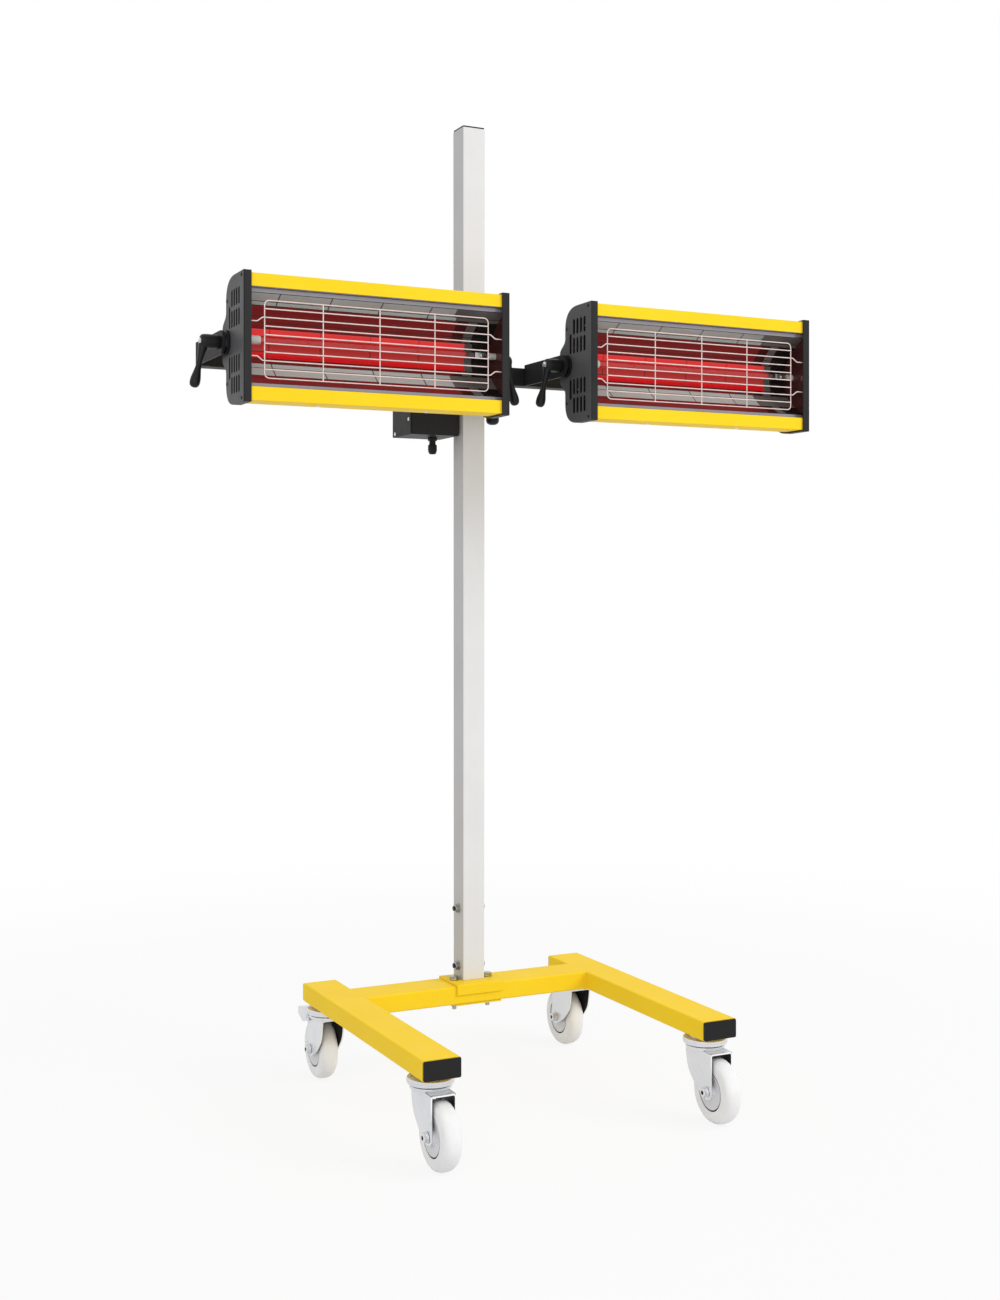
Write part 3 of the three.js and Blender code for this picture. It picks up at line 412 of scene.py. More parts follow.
# The end sheets' reddish tone is a painted glow of the emitter's light.
PAINTED_GLOW_END_SHEET = Finish("end_sheet_painted_red_glow", "polished_reflector", (92, 50, 50), (80, 40, 40), metallic=0.3,
                   roughness=(0.1, 0.2), grain_scale=500.0, grain_depth=0.000003, patch_scale=60.0)


def strip(name: str, colour: Colour, second: Colour, glow: Colour | None = None,
          glow_strength: float = 0.85) -> Finish:
    """Makes the finish of one strip of the reflector, with the light painted on it.

    Args:
        name: Name of the strip.
        colour: Its main colour.
        second: Colour of its patches.
        glow: Colour of the emitter's painted reflection in it, if it shows there.
        glow_strength: Strength of that painted glow.

    Returns:
        The finish.
    """
    made = replace(SHEET, name=f"reflector_{name}", colour=colour, second=second)
    return replace(made, glow=glow, glow_strength=glow_strength) if glow else made


# The reflector's finishes paint the light in its trough: the greys of the sheet and its lip are painted
# reflections of the room, the shaded facet is painted shade, the reds are the emitter's painted reflection
# as a glow, and the grey strip and the unlit end are painted reflections of the dark end cap.
TROUGH_PAINTED_LIGHT = {
    PaintedBand.ROOM: SHEET,
    PaintedBand.FOLD: PAINTED_DARK_LINE,
    PaintedBand.END: PAINTED_GLOW_END_SHEET,
    PaintedBand.LIP: strip("lip", (160, 155, 161), (150, 145, 152)),
    PaintedBand.SHADE: strip("in_shade", (184, 202, 197), (171, 188, 183)),
    PaintedBand.DIM: strip("painted_dim_red_glow", (66, 18, 18), (52, 14, 14), (96, 24, 24)),
    PaintedBand.MID: strip("painted_middle_red_glow", (104, 28, 28), (92, 24, 24), (150, 42, 40)),
    PaintedBand.BRIGHT: strip("painted_bright_red_glow", (140, 40, 40), (128, 34, 34), (202, 52, 53)),
    PaintedBand.DEEP: strip("painted_deep_red_glow", (124, 14, 16), (112, 12, 14), (180, 14, 19)),
    PaintedBand.DUSK: strip("painted_dusky_red_glow", (56, 20, 20), (44, 16, 16), (50, 12, 12), 0.6),
    PaintedBand.STRIP: strip("painted_grey_reflection", (122, 120, 116), (100, 98, 95)),
    PaintedBand.UNLIT: strip("unlit_end", (34, 33, 32), (24, 23, 23)),
}
# How a strip looks under one of its painted dark reflection lines.
PAINTED_LINE_LOOKS = {
    PaintedBand.SHADE: PaintedBand.FOLD,
    PaintedBand.ROOM: PaintedBand.FOLD,
    PaintedBand.MID: PaintedBand.DIM,
    PaintedBand.BRIGHT: PaintedBand.MID,
    PaintedBand.DEEP: PaintedBand.MID,
}
# Where along the lamp each strip's painted reflection gives way to the next, beyond the emitter's filament.
PAINTED_RED_ENDS = ((0.163, PaintedBand.STRIP), (0.176, PaintedBand.UNLIT))
PAINTED_REFLECTION_ENDS = {
    PaintedBand.SHADE: ((0.128, PaintedBand.STRIP),),
    PaintedBand.ROOM: ((0.134, PaintedBand.STRIP),),
    PaintedBand.DIM: ((0.138, PaintedBand.DUSK), (0.157, PaintedBand.STRIP), (0.172, PaintedBand.UNLIT)),
    PaintedBand.MID: PAINTED_RED_ENDS,
    PaintedBand.BRIGHT: PAINTED_RED_ENDS,
    PaintedBand.DEEP: PAINTED_RED_ENDS,
}


def placed(name: str, data: bpy.types.ID | None) -> bpy.types.Object:
    """Puts a new object with this data into the scene."""
    made = bpy.data.objects.new(name, data)
    bpy.context.scene.collection.objects.link(made)
    return made


def corners_of(items: Iterable[Item]) -> list[bmesh.types.BMVert]:
    """Picks the vertices out of what an operator made."""
    return [item for item in items if isinstance(item, bmesh.types.BMVert)]


def rounded(part: bmesh.types.BMesh, items: Sequence[Item], radius: float, steps: int,
            what: Rounded = Rounded.EDGES) -> list[bmesh.types.BMFace]:
    """Rounds edges, or the corners of a flat outline.

    Args:
        part: Mesh that they belong to.
        items: The edges or the corners.
        radius: Radius of the rounding.
        steps: Its segments.
        what: Whether they are edges or corners.

    Returns:
        The faces of the rounding.
    """
    return bmesh.ops.bevel(part, geom=items, offset=radius, offset_type="OFFSET", segments=steps,
                           profile=0.5, affect=what.value, material=-1, clamp_overlap=True)["faces"]


class Shape:
    """A mesh under construction, put together from parts that bmesh operators make."""

    def __init__(self) -> None:
        """Starts empty."""
        self.mesh = bmesh.new()

    @classmethod
    def of_node(cls, node: str) -> Shape:
        """Copies a CAD node's mesh and dissolves the edges inside its flat faces.

        Args:
            node: Name of the CAD node.

        Returns:
            A shape with whole flat faces.
        """
        shape = cls()
        mesh = shape.mesh
        mesh.from_mesh(bpy.data.objects[node].data)
        bmesh.ops.remove_doubles(mesh, verts=mesh.verts, dist=TOUCHING)
        bmesh.ops.dissolve_limit(mesh, angle_limit=FLAT_ANGLE, verts=mesh.verts, edges=mesh.edges,
                                 delimit={"NORMAL"})
        return shape

    def absorb(self, part: bmesh.types.BMesh, finish: int | None = None) -> Shape:
        """Adds a finished part, with its faces turned outwards.

        Args:
            part: The part, which is freed.
            finish: Index of its finish in the piece's list, or None where its faces have theirs.

        Returns:
            This shape.
        """
        bmesh.ops.remove_doubles(part, verts=part.verts, dist=TOUCHING)
        bmesh.ops.recalc_face_normals(part, faces=part.faces)
        if finish is not None:
            for face in part.faces:
                face.material_index = finish
        scratch = bpy.data.meshes.new("scratch")
        part.to_mesh(scratch)
        part.free()
        self.mesh.from_mesh(scratch)
        bpy.data.meshes.remove(scratch)
        return self

    def block(self, low: Sequence[float], high: Sequence[float], corner: float = 0.0, steps: int = 3,
              finish: int = 0) -> Shape:
        """Adds a box with rounded edges.

        Args:
            low: Its lowest corner.
            high: Its highest corner.
            corner: Radius of its edges.
            steps: Segments of each rounding.
            finish: Index of its finish.

        Returns:
            This shape.
        """
        part = bmesh.new()
        size = Vector(high) - Vector(low)
        middle = (Vector(high) + Vector(low)) / 2.0
        matrix = Matrix.Translation(middle) @ Matrix.Diagonal((*size, 1.0))
        bmesh.ops.create_cube(part, size=1.0, matrix=matrix)
        if corner > 0.0:
            rounded(part, part.edges[:], corner, steps)
        return self.absorb(part, finish)

    def turned(self, axis: Axis, profile: Sequence[Pair], centre: Sequence[float], steps: int = 48,
               closed: bool = False, finish: int = 0) -> Shape:
        """Adds a turned part.

        Args:
            axis: Axis that it is turned about.
            profile: Pairs of radius and place along the axis, from the centre.
            centre: Point that the axis passes through.
            steps: Segments of the full turn.
            closed: Whether the profile closes on itself, away from the axis.
            finish: Index of its finish.

        Returns:
            This shape.
        """
        part = bmesh.new()
        points = [part.verts.new((radius, 0.0, along)) for radius, along in profile]
        for first, second in zip(points, points[1:]):
            part.edges.new((first, second))
        if closed:
            part.edges.new((points[-1], points[0]))
        bmesh.ops.spin(part, geom=part.verts[:] + part.edges[:], cent=(0.0, 0.0, 0.0), axis=Axis.Z.value,
                       angle=math.tau, steps=steps, use_merge=True, use_duplicate=False)
        matrix = Matrix.Translation(Vector(centre)) @ axis.turn()
        bmesh.ops.transform(part, matrix=matrix, verts=part.verts)
        return self.absorb(part, finish)

    def slab(self, axis: Axis, outline: Sequence[Pair], span: Pair, corner: float = 0.0,
             holes: Iterable[Sequence[Pair]] = (), finish: int = 0) -> Shape:
        """Adds a plate of a flat outline.

        Args:
            axis: Axis across the plate.
            outline: Its corners in the plane across that axis.
            span: Where it starts and ends along the axis.
            corner: Radius of the outline's corners.
            holes: Outlines of the openings through it.
            finish: Index of its finish.

        Returns:
            This shape.
        """
        part = bmesh.new()
        face = part.faces.new([part.verts.new(axis.spot(u, v, span[0])) for u, v in outline])
        if corner > 0.0:
            rounded(part, list(face.verts), corner, CORNER_STEPS, Rounded.CORNERS)
        openings = list(holes)
        if openings:
            bmesh.ops.delete(part, geom=part.faces[:], context="FACES_ONLY")
            for opening in openings:
                ring = [part.verts.new(axis.spot(u, v, span[0])) for u, v in opening]
                for first, second in zip(ring, ring[1:] + ring[:1]):
                    part.edges.new((first, second))
            bmesh.ops.triangle_fill(part, use_beauty=True, use_dissolve=False, edges=part.edges[:])
        raised = bmesh.ops.extrude_face_region(part, geom=part.faces[:])["geom"]
        bmesh.ops.translate(part, verts=corners_of(raised), vec=Vector(axis.value) * (span[1] - span[0]))
        return self.absorb(part, finish)

    def swept(self, path: Sequence[Sequence[float]], radius: float, sides: int = 10, closed: bool = False,
              swell: Sequence[float] = ()) -> Shape:
        """Adds a round bar along a path.

        Args:
            path: Points of its centre line.
            radius: Its radius.
            sides: Sides of its section.
            closed: Whether the path closes on itself.
            swell: Factor on the radius at each point, if it isn't even.

        Returns:
            This shape.
        """
        part = bmesh.new()
        points = [Vector(point) for point in path]
        count = len(points)
        tangents = []
        for i in range(count):
            before = points[i - 1] if closed or i > 0 else points[i]
            after = points[(i + 1) % count] if closed or i < count - 1 else points[i]
            tangents.append((after - before).normalized())
        factors = list(swell) or [1.0] * count
        start = Vector(Axis.Z.value).rotation_difference(tangents[0]).to_matrix().to_4x4()
        ring = bmesh.ops.create_circle(part, segments=sides, radius=radius * factors[0],
                                       matrix=Matrix.Translation(points[0]) @ start)["verts"]
        first_edges = list({edge for vert in ring for edge in vert.link_edges})
        edges = first_edges
        for i in range(1, count):
            made = bmesh.ops.extrude_edge_only(part, edges=edges)["geom"]
            ring = corners_of(made)
            turn = tangents[i - 1].rotation_difference(tangents[i]).to_matrix().to_4x4()
            grow = Matrix.Scale(factors[i] / factors[i - 1], 4)
            matrix = Matrix.Translation(points[i]) @ turn @ grow @ Matrix.Translation(-points[i - 1])
            bmesh.ops.transform(part, matrix=matrix, verts=ring)
            edges = [item for item in made if isinstance(item, bmesh.types.BMEdge)
                     and all(vert in ring for vert in item.verts)]
        if closed:
            bmesh.ops.bridge_loops(part, edges=edges + first_edges)
        else:
            bmesh.ops.holes_fill(part, edges=part.edges[:], sides=0)
        return self.absorb(part, 0)

    def round_long_edges(self, axis: Axis, radius: float, shortest: float, steps: int = 4) -> Shape:
        """Rounds the outer edges that run along an axis, as the corners of a drawn tube are.

        Args:
            axis: Axis that the edges run along.
            radius: Radius of the rounding.
            shortest: Shorter edges are left.
            steps: Segments of the rounding.

        Returns:
            This shape.
        """
        way = Vector(axis.value)
        edges = []
        for edge in self.mesh.edges:
            line = edge.verts[1].co - edge.verts[0].co
            fits = line.length >= shortest and abs(line.normalized().dot(way)) >= ALONG_SHARE
            if fits and edge.is_manifold and edge.calc_face_angle_signed(0.0) > OUTER_ANGLE:
                edges.append(edge)
        if edges:
            rounded(self.mesh, edges, radius, steps)
        return self

    def place(self, matrix: Matrix) -> Shape:
        """Moves everything made so far.

        Args:
            matrix: The move.

        Returns:
            This shape.
        """
        bmesh.ops.transform(self.mesh, matrix=matrix, verts=self.mesh.verts)
        if matrix.determinant() < 0.0:
            bmesh.ops.reverse_faces(self.mesh, faces=self.mesh.faces[:])
        return self

    def finish(self, name: str, body: str, finishes: Sequence[Finish], replaces: Sequence[str] = (),
               edge: float = 0.0, edge_steps: int = 2) -> bpy.types.Object:
        """Turns the shape into a piece that rides on a body.

        Args:
            name: Name of the piece.
            body: Name of the CAD body that it rides on.
            finishes: Its finishes, the main one first.
            replaces: CAD nodes that it stands for.
            edge: Radius of the small rounding on every sharp edge.
            edge_steps: Segments of that rounding.

        Returns:
            The piece.
        """
        for face in self.mesh.faces:
            face.smooth = True
        for rim in self.mesh.edges:
            rim.smooth = edge > 0.0 or rim.calc_face_angle(0.0) < SMOOTH_ANGLE
        data = bpy.data.meshes.new(name)
        self.mesh.to_mesh(data)
        self.mesh.free()
        stale = data.attributes.get("custom_normal")
        if stale is not None:
            data.attributes.remove(stale)
        for finish in finishes:
            data.materials.append(finish.material())
        piece = placed(name, data)
        if edge > 0.0:
            rounding = piece.modifiers.new("edges", "BEVEL")
            rounding.width = edge
            rounding.segments = edge_steps
            rounding.limit_method = "ANGLE"
            rounding.angle_limit = SMOOTH_ANGLE
            rounding.use_clamp_overlap = True
        shading = piece.modifiers.new("shading", "WEIGHTED_NORMAL")
        shading.keep_sharp = True
        if replaces:
            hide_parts(*replaces)
        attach(piece, body)
        LOG.info("%s: %d faces on %s", name, len(data.polygons), body)
        return piece


def arc(centre: Pair, radius: float, start: float, end: float, steps: int) -> list[Pair]:
    """Lists the points of an arc between two angles in degrees."""
    angles = [math.radians(start + (end - start) * i / steps) for i in range(steps + 1)]
    return [(centre[0] + radius * math.cos(angle), centre[1] + radius * math.sin(angle)) for angle in angles]


def slot_outline(middle: Pair, width: float, height: float) -> list[Pair]:
    """Outlines an upright slot with round ends.

    Args:
        middle: Its middle.
        width: Its width.
        height: Its full height.

    Returns:
        The outline.
    """
    radius = width / 2.0
    rise = height / 2.0 - radius
    top = arc((middle[0], middle[1] + rise), radius, 0.0, 180.0, SLOT_STEPS)
    return top + arc((middle[0], middle[1] - rise), radius, 180.0, 360.0, SLOT_STEPS)


def rectangle(width: float, height: float, middle: Pair = (0.0, 0.0)) -> list[Pair]:
    """Lists the corners of a rectangle, anticlockwise."""
    corners = ((-0.5, -0.5), (0.5, -0.5), (0.5, 0.5), (-0.5, 0.5))
    return [(middle[0] + width * a, middle[1] + height * b) for a, b in corners]


def circle(centre: Pair, radius: float, count: int) -> list[Pair]:
    """Lists evenly spaced points round a circle."""
    return arc(centre, radius, 0.0, 360.0 - 360.0 / count, count - 1)


def bar_section(radius: float, start: float, end: float, bore: float = 0.0) -> list[Pair]:
    """Lists the profile of a round bar, or of a ring where it has a bore."""
    return [(bore, start), (radius, start), (radius, end), (bore, end)]


def middle_of(node: str) -> Vector:
    """Finds the middle of a CAD node's box."""
    low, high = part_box(node)
    return (low + high) / 2.0


def in_order(first: float, second: float) -> Pair:
    """Puts two places along an axis in order."""
    return (min(first, second), max(first, second))


@dataclass
class Hardware:
    """Builds bolts, nuts and small screws."""

    washer_radius: float = 0.008
    washer: float = 0.0016
    washer_lip: float = 0.00032
    flats: float = 0.013
    flat_cuts: int = 5
    head: float = 0.0053
    shank_radius: float = 0.004
    tail: float = 0.0022
    chamfer: float = 0.0009
    chamfer_slope: float = 0.6
    thread_pitch: float = 0.00125
    thread_depth: float = 0.0005
    thread_share: float = 0.9
    thread_end: float = 1.5
    dome_base: float = 0.35
    dome_angles: tuple[float, ...] = (0.35, 0.7, 1.05, 1.3)
    recess_shares: Section = ((0.22, 1.0), (0.16, 0.5), (0.0, 0.45))
    screw_sink: float = 0.3

    def hexagon(self, shape: Shape, axis: Axis, centre: Vector, start: float, height: float) -> None:
        """Adds a hexagon whose outer corners are turned off.

        Args:
            shape: Shape that it is added to.
            axis: Axis of the bolt.
            centre: Point on that axis, with no part along it.
            start: Place of its seat along the axis.
            height: Its height, negative where it points back along the axis.
        """
        way = Vector(axis.value)
        part = bmesh.new()
        half = self.flats / 2.0
        bmesh.ops.create_circle(part, cap_ends=True, segments=6, radius=half / math.cos(math.pi / 6.0))
        bmesh.ops.subdivide_edges(part, edges=part.edges[:], cuts=self.flat_cuts)
        raised = bmesh.ops.extrude_face_region(part, geom=part.faces[:])["geom"]
        for vert in corners_of(raised):
            over = max(0.0, vert.co.xy.length - half + self.chamfer)
            vert.co.z = abs(height) - over * self.chamfer_slope
        crown = [item for item in raised if isinstance(item, bmesh.types.BMFace)]
        bmesh.ops.inset_region(part, faces=crown, thickness=self.chamfer)
        for vert in {vert for face in crown for vert in face.verts}:
            vert.co.z = abs(height)
        flip = Matrix.Scale(-1.0, 4, Vector(Axis.Z.value)) if height < 0.0 else Matrix.Identity(4)
        matrix = Matrix.Translation(centre + way * start) @ axis.turn() @ flip
        bmesh.ops.transform(part, matrix=matrix, verts=part.verts)
        shape.absorb(part, 0)

    def seat(self, shape: Shape, axis: Axis, centre: Vector, face: float, way: float) -> float:
        """Adds a washer and the hexagon on it.

        Args:
            shape: Shape that they are added to.
            axis: Axis of the bolt.
            centre: Point on that axis, with no part along it.
            face: Where the washer lies.
            way: 1 or -1, the way that they stand out along the axis.

        Returns:
            Where the hexagon ends along the axis.
        """
        low, high = in_order(face, face + way * self.washer)
        rim = self.washer_radius
        lip = self.washer_lip
        ring = [(self.shank_radius, low), (rim - lip, low), (rim, low + lip), (rim, high - lip),
                (rim - lip, high), (self.shank_radius, high)]
        shape.turned(axis, ring, centre, steps=40, closed=True)
        self.hexagon(shape, axis, centre, face + way * self.washer, way * self.head)
        return face + way * (self.washer + self.head)

    def bolt(self, axis: Axis, centre: Vector, head_face: float, nut_face: float) -> Shape:
        """Builds a bolt's washers, head and nut, and the end of its thread.

        Args:
            axis: Its axis.
            centre: Point on that axis, with no part along it.
            head_face: Where its head's washer lies.
            nut_face: Where its nut's washer lies.

        Returns:
            The shape, with the thread's end in the second finish.
        """
        shape = Shape()
        out = math.copysign(1.0, nut_face - head_face)
        self.seat(shape, axis, centre, head_face, -out)
        tip = self.seat(shape, axis, centre, nut_face, out)
        self.thread(shape, axis, centre, tip, out * self.tail, 1)
        return shape

    def thread(self, shape: Shape, axis: Axis, centre: Vector, start: float, length: float,
               finish: int = 0) -> None:
        """Adds the end of a thread with its crests.

        Args:
            shape: Shape that it is added to.
            axis: Its axis.
            centre: Point on that axis.
            start: Where it comes out of its nut.
            length: How far it stands out, with its direction.
            finish: Index of its finish.
        """
        count = max(2, round(abs(length) / self.thread_pitch * 2.0))
        profile = [(0.0, start - length), (self.shank_radius, start - length)]
        for i in range(count + 1):
            deep = self.thread_depth if i % 2 else 0.0
            profile.append((self.shank_radius - deep, start + length * i / count * self.thread_share))
        end = self.shank_radius - self.thread_depth * self.thread_end
        profile += [(end, start + length), (0.0, start + length)]
        shape.turned(axis, profile, centre, steps=28, finish=finish)

    def pan_screw(self, shape: Shape, axis: Axis, centre: Vector, out: float, radius: float = 0.0032,
                  rise: float = 0.0016, finish: int = 0) -> None:
        """Adds a small pan head with a cross recess.

        Args:
            shape: Shape that it is added to.
            axis: Axis of the screw.
            centre: Middle of its seat.
            out: 1 or -1, the way that it faces along the axis.
            radius: Radius of its head.
            rise: Height of its head.
            finish: Index of its finish.
        """
        base = self.dome_base
        shares = [(0.0, -self.screw_sink), (1.0, -self.screw_sink), (1.0, 0.0), (1.0, base)]
        shares += [(math.cos(a), base + (1.0 - base) * math.sin(a)) for a in self.dome_angles]
        shares += self.recess_shares
        profile = [(radius * wide, rise * high * out) for wide, high in shares]
        shape.turned(axis, profile, centre, steps=24, finish=finish)


HARDWARE = Hardware()


def weld_path(points: Sequence[Sequence[float]], pitch: float) -> tuple[list[Vector], list[float]]:
    """Spaces the ripples of a weld bead along a broken line.

    Args:
        points: Corners of the line.
        pitch: Length of a ripple.

    Returns:
        The bead's points and the factor on its radius at each.
    """
    path = []
    swell = []
    for first, second in zip(points, points[1:]):
        start = Vector(first)
        end = Vector(second)
        count = max(2, round((end - start).length / pitch * 2.0))
        for i in range(count):
            path.append(start.lerp(end, i / count))
            swell.append(1.0 if i % 2 else WELD_VALLEY)
    path.append(Vector(points[-1]))
    swell.append(WELD_END)
    return path, swell


@dataclass
class BaseFrame:
    """The yellow H-shaped frame with its plugs, saddle and saddle bolts."""

    tube_corner: float = 0.003
    tube_shortest: float = 0.2
    sheet_edge: float = 0.0004
    plug_corner: float = 0.0024
    plug_shortest: float = 0.001
    plug_edge: float = 0.0007
    bend: float = 0.0045
    bend_share: float = 0.8
    weld_radius: float = 0.0017
    weld_pitch: float = 0.0032
    weld_sink: float = 0.75
    saddle_fixing: Hardware = field(default_factory=lambda: Hardware(tail=0.0058))

    def build(self) -> None:
        """Builds every piece of the frame."""
        for side in SIDES:
            self.leg(side)
            for place in ("front", "rear"):
                self.plug(place, side)
            self.weld(side)
        self.crossbar()
        self.saddle()
        self.clamp_plate()
        self.bolts()

    def leg(self, side: str) -> None:
        """Builds one leg tube with drawn corners."""
        shape = Shape.of_node(f"{side}_leg")
        shape.round_long_edges(Axis.Y, self.tube_corner, self.tube_shortest, CORNER_STEPS)
        shape.finish(f"leg_tube_{side}", "base", [YELLOW_PAINT], [f"{side}_leg"], self.sheet_edge)

    def plug(self, place: str, side: str) -> None:
        """Builds one moulded plug with softened corners."""
        node = f"leg_plug_{place}_{side}"
        shape = Shape.of_node(node).round_long_edges(Axis.Y, self.plug_corner, self.plug_shortest)
        shape.finish(f"leg_end_{place}_{side}", "base", [BLACK_PLASTIC], [node], self.plug_edge)

    def crossbar(self) -> None:
        """Builds the crossbar tube, whose ends are ground flush over the legs' round corners."""
        shape = Shape.of_node("base_crossbar")
        shape.round_long_edges(Axis.X, self.tube_corner, self.tube_shortest, CORNER_STEPS)
        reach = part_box("base_crossbar")[1].x
        for vert in shape.mesh.verts:
            if abs(vert.co.x) > reach - SEAT_GAP:
                vert.co.x = math.copysign(reach + SEAT_GAP + self.tube_corner, vert.co.x)
        shape.finish("crossbar_tube", "base", [YELLOW_PAINT], ["base_crossbar"], self.sheet_edge)

    def weld(self, side: str) -> None:
        """Lays the weld bead round the crossbar's end, against the leg.

        Args:
            side: left or right leg.
        """
        low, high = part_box("base_crossbar")
        x = high.x + SEAT_GAP / 2.0 if side == "right" else low.x - SEAT_GAP / 2.0
        top = high.z - self.weld_radius * self.weld_sink
        corners = [(x, low.y, top), (x, low.y, low.z), (x, high.y, low.z), (x, high.y, top)]
        path, swell = weld_path(corners, self.weld_pitch)
        shape = Shape().swept(path, self.weld_radius, swell=swell)
        shape.finish(f"leg_weld_{side}", "base", [YELLOW_PAINT])

    def saddle(self) -> None:
        """Builds the folded saddle with its inner post stub."""
        low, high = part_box("post_saddle")
        shape = Shape.of_node("post_saddle")
        shape.round_long_edges(Axis.X, self.bend, (high.x - low.x) * self.bend_share, CORNER_STEPS)
        shape.finish("saddle_channel", "base", [YELLOW_PAINT], ["post_saddle"], self.sheet_edge)

    def clamp_plate(self) -> None:
        """Builds the plate under the crossbar."""
        node = "saddle_clamp_plate"
        shape = Shape.of_node(node)
        shape.finish("saddle_under_plate", "base", [YELLOW_PAINT], [node], self.sheet_edge * 2.0)

    def bolts(self) -> None:
        """Builds the bolts through saddle and crossbar."""
        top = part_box("saddle_clamp_plate")[0].z
        for side in SIDES:
            node = f"saddle_bolt_{side}"
            centre = middle_of(node)
            centre.z = 0.0
            head_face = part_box(node)[1].z - HARDWARE.head - HARDWARE.washer
            shape = self.saddle_fixing.bolt(Axis.Z, centre, head_face, top - SEAT_GAP)
            shape.turned(Axis.Z, bar_section(HARDWARE.shank_radius, top, head_face), centre, steps=24)
            shape.finish(f"saddle_hex_bolt_{side}", "base", [ZINC_BOLT, ZINC], [node])


@dataclass
class Post:
    """The square aluminium post with its cap and bolts."""

    corner: float = 0.0022
    shortest: float = 0.5
    side_share: float = 0.8
    sheet_edge: float = 0.0003
    cap_corner: float = 0.0024
    cap_shortest: float = 0.0005
    cap_edge: float = 0.0006

    def build(self) -> None:
        """Builds the post, its cap and its bolts."""
        shape = Shape.of_node("post")
        shape.round_long_edges(Axis.Z, self.corner, self.shortest, CORNER_STEPS)
        # The faces across X get the darker copy of the aluminium: painted shade on the post's sides.
        for face in shape.mesh.faces:
            if abs(face.normal.x) > self.side_share:
                face.material_index = 1
        shape.finish("post_tube", "base", [ALUMINIUM, ALUMINIUM_SIDE_SHADE], ["post"], self.sheet_edge)
        cap = Shape.of_node("post_cap").round_long_edges(Axis.Z, self.cap_corner, self.cap_shortest)
        cap.finish("post_end_cap", "base", [BLACK_PLASTIC], ["post_cap"], self.cap_edge)
        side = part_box("post")[1].x + SEAT_GAP
        for word in ("lower", "upper"):
            centre = middle_of(f"post_bolt_{word}")
            centre.x = 0.0
            bolt = HARDWARE.bolt(Axis.X, centre, side, -side)
            # The thread ends get the dark copy of the zinc: painted shade.
            bolt.finish(f"post_hex_bolt_{word}", "base", [ZINC_BOLT, THREAD_END_SHADE], [f"post_bolt_{word}"])


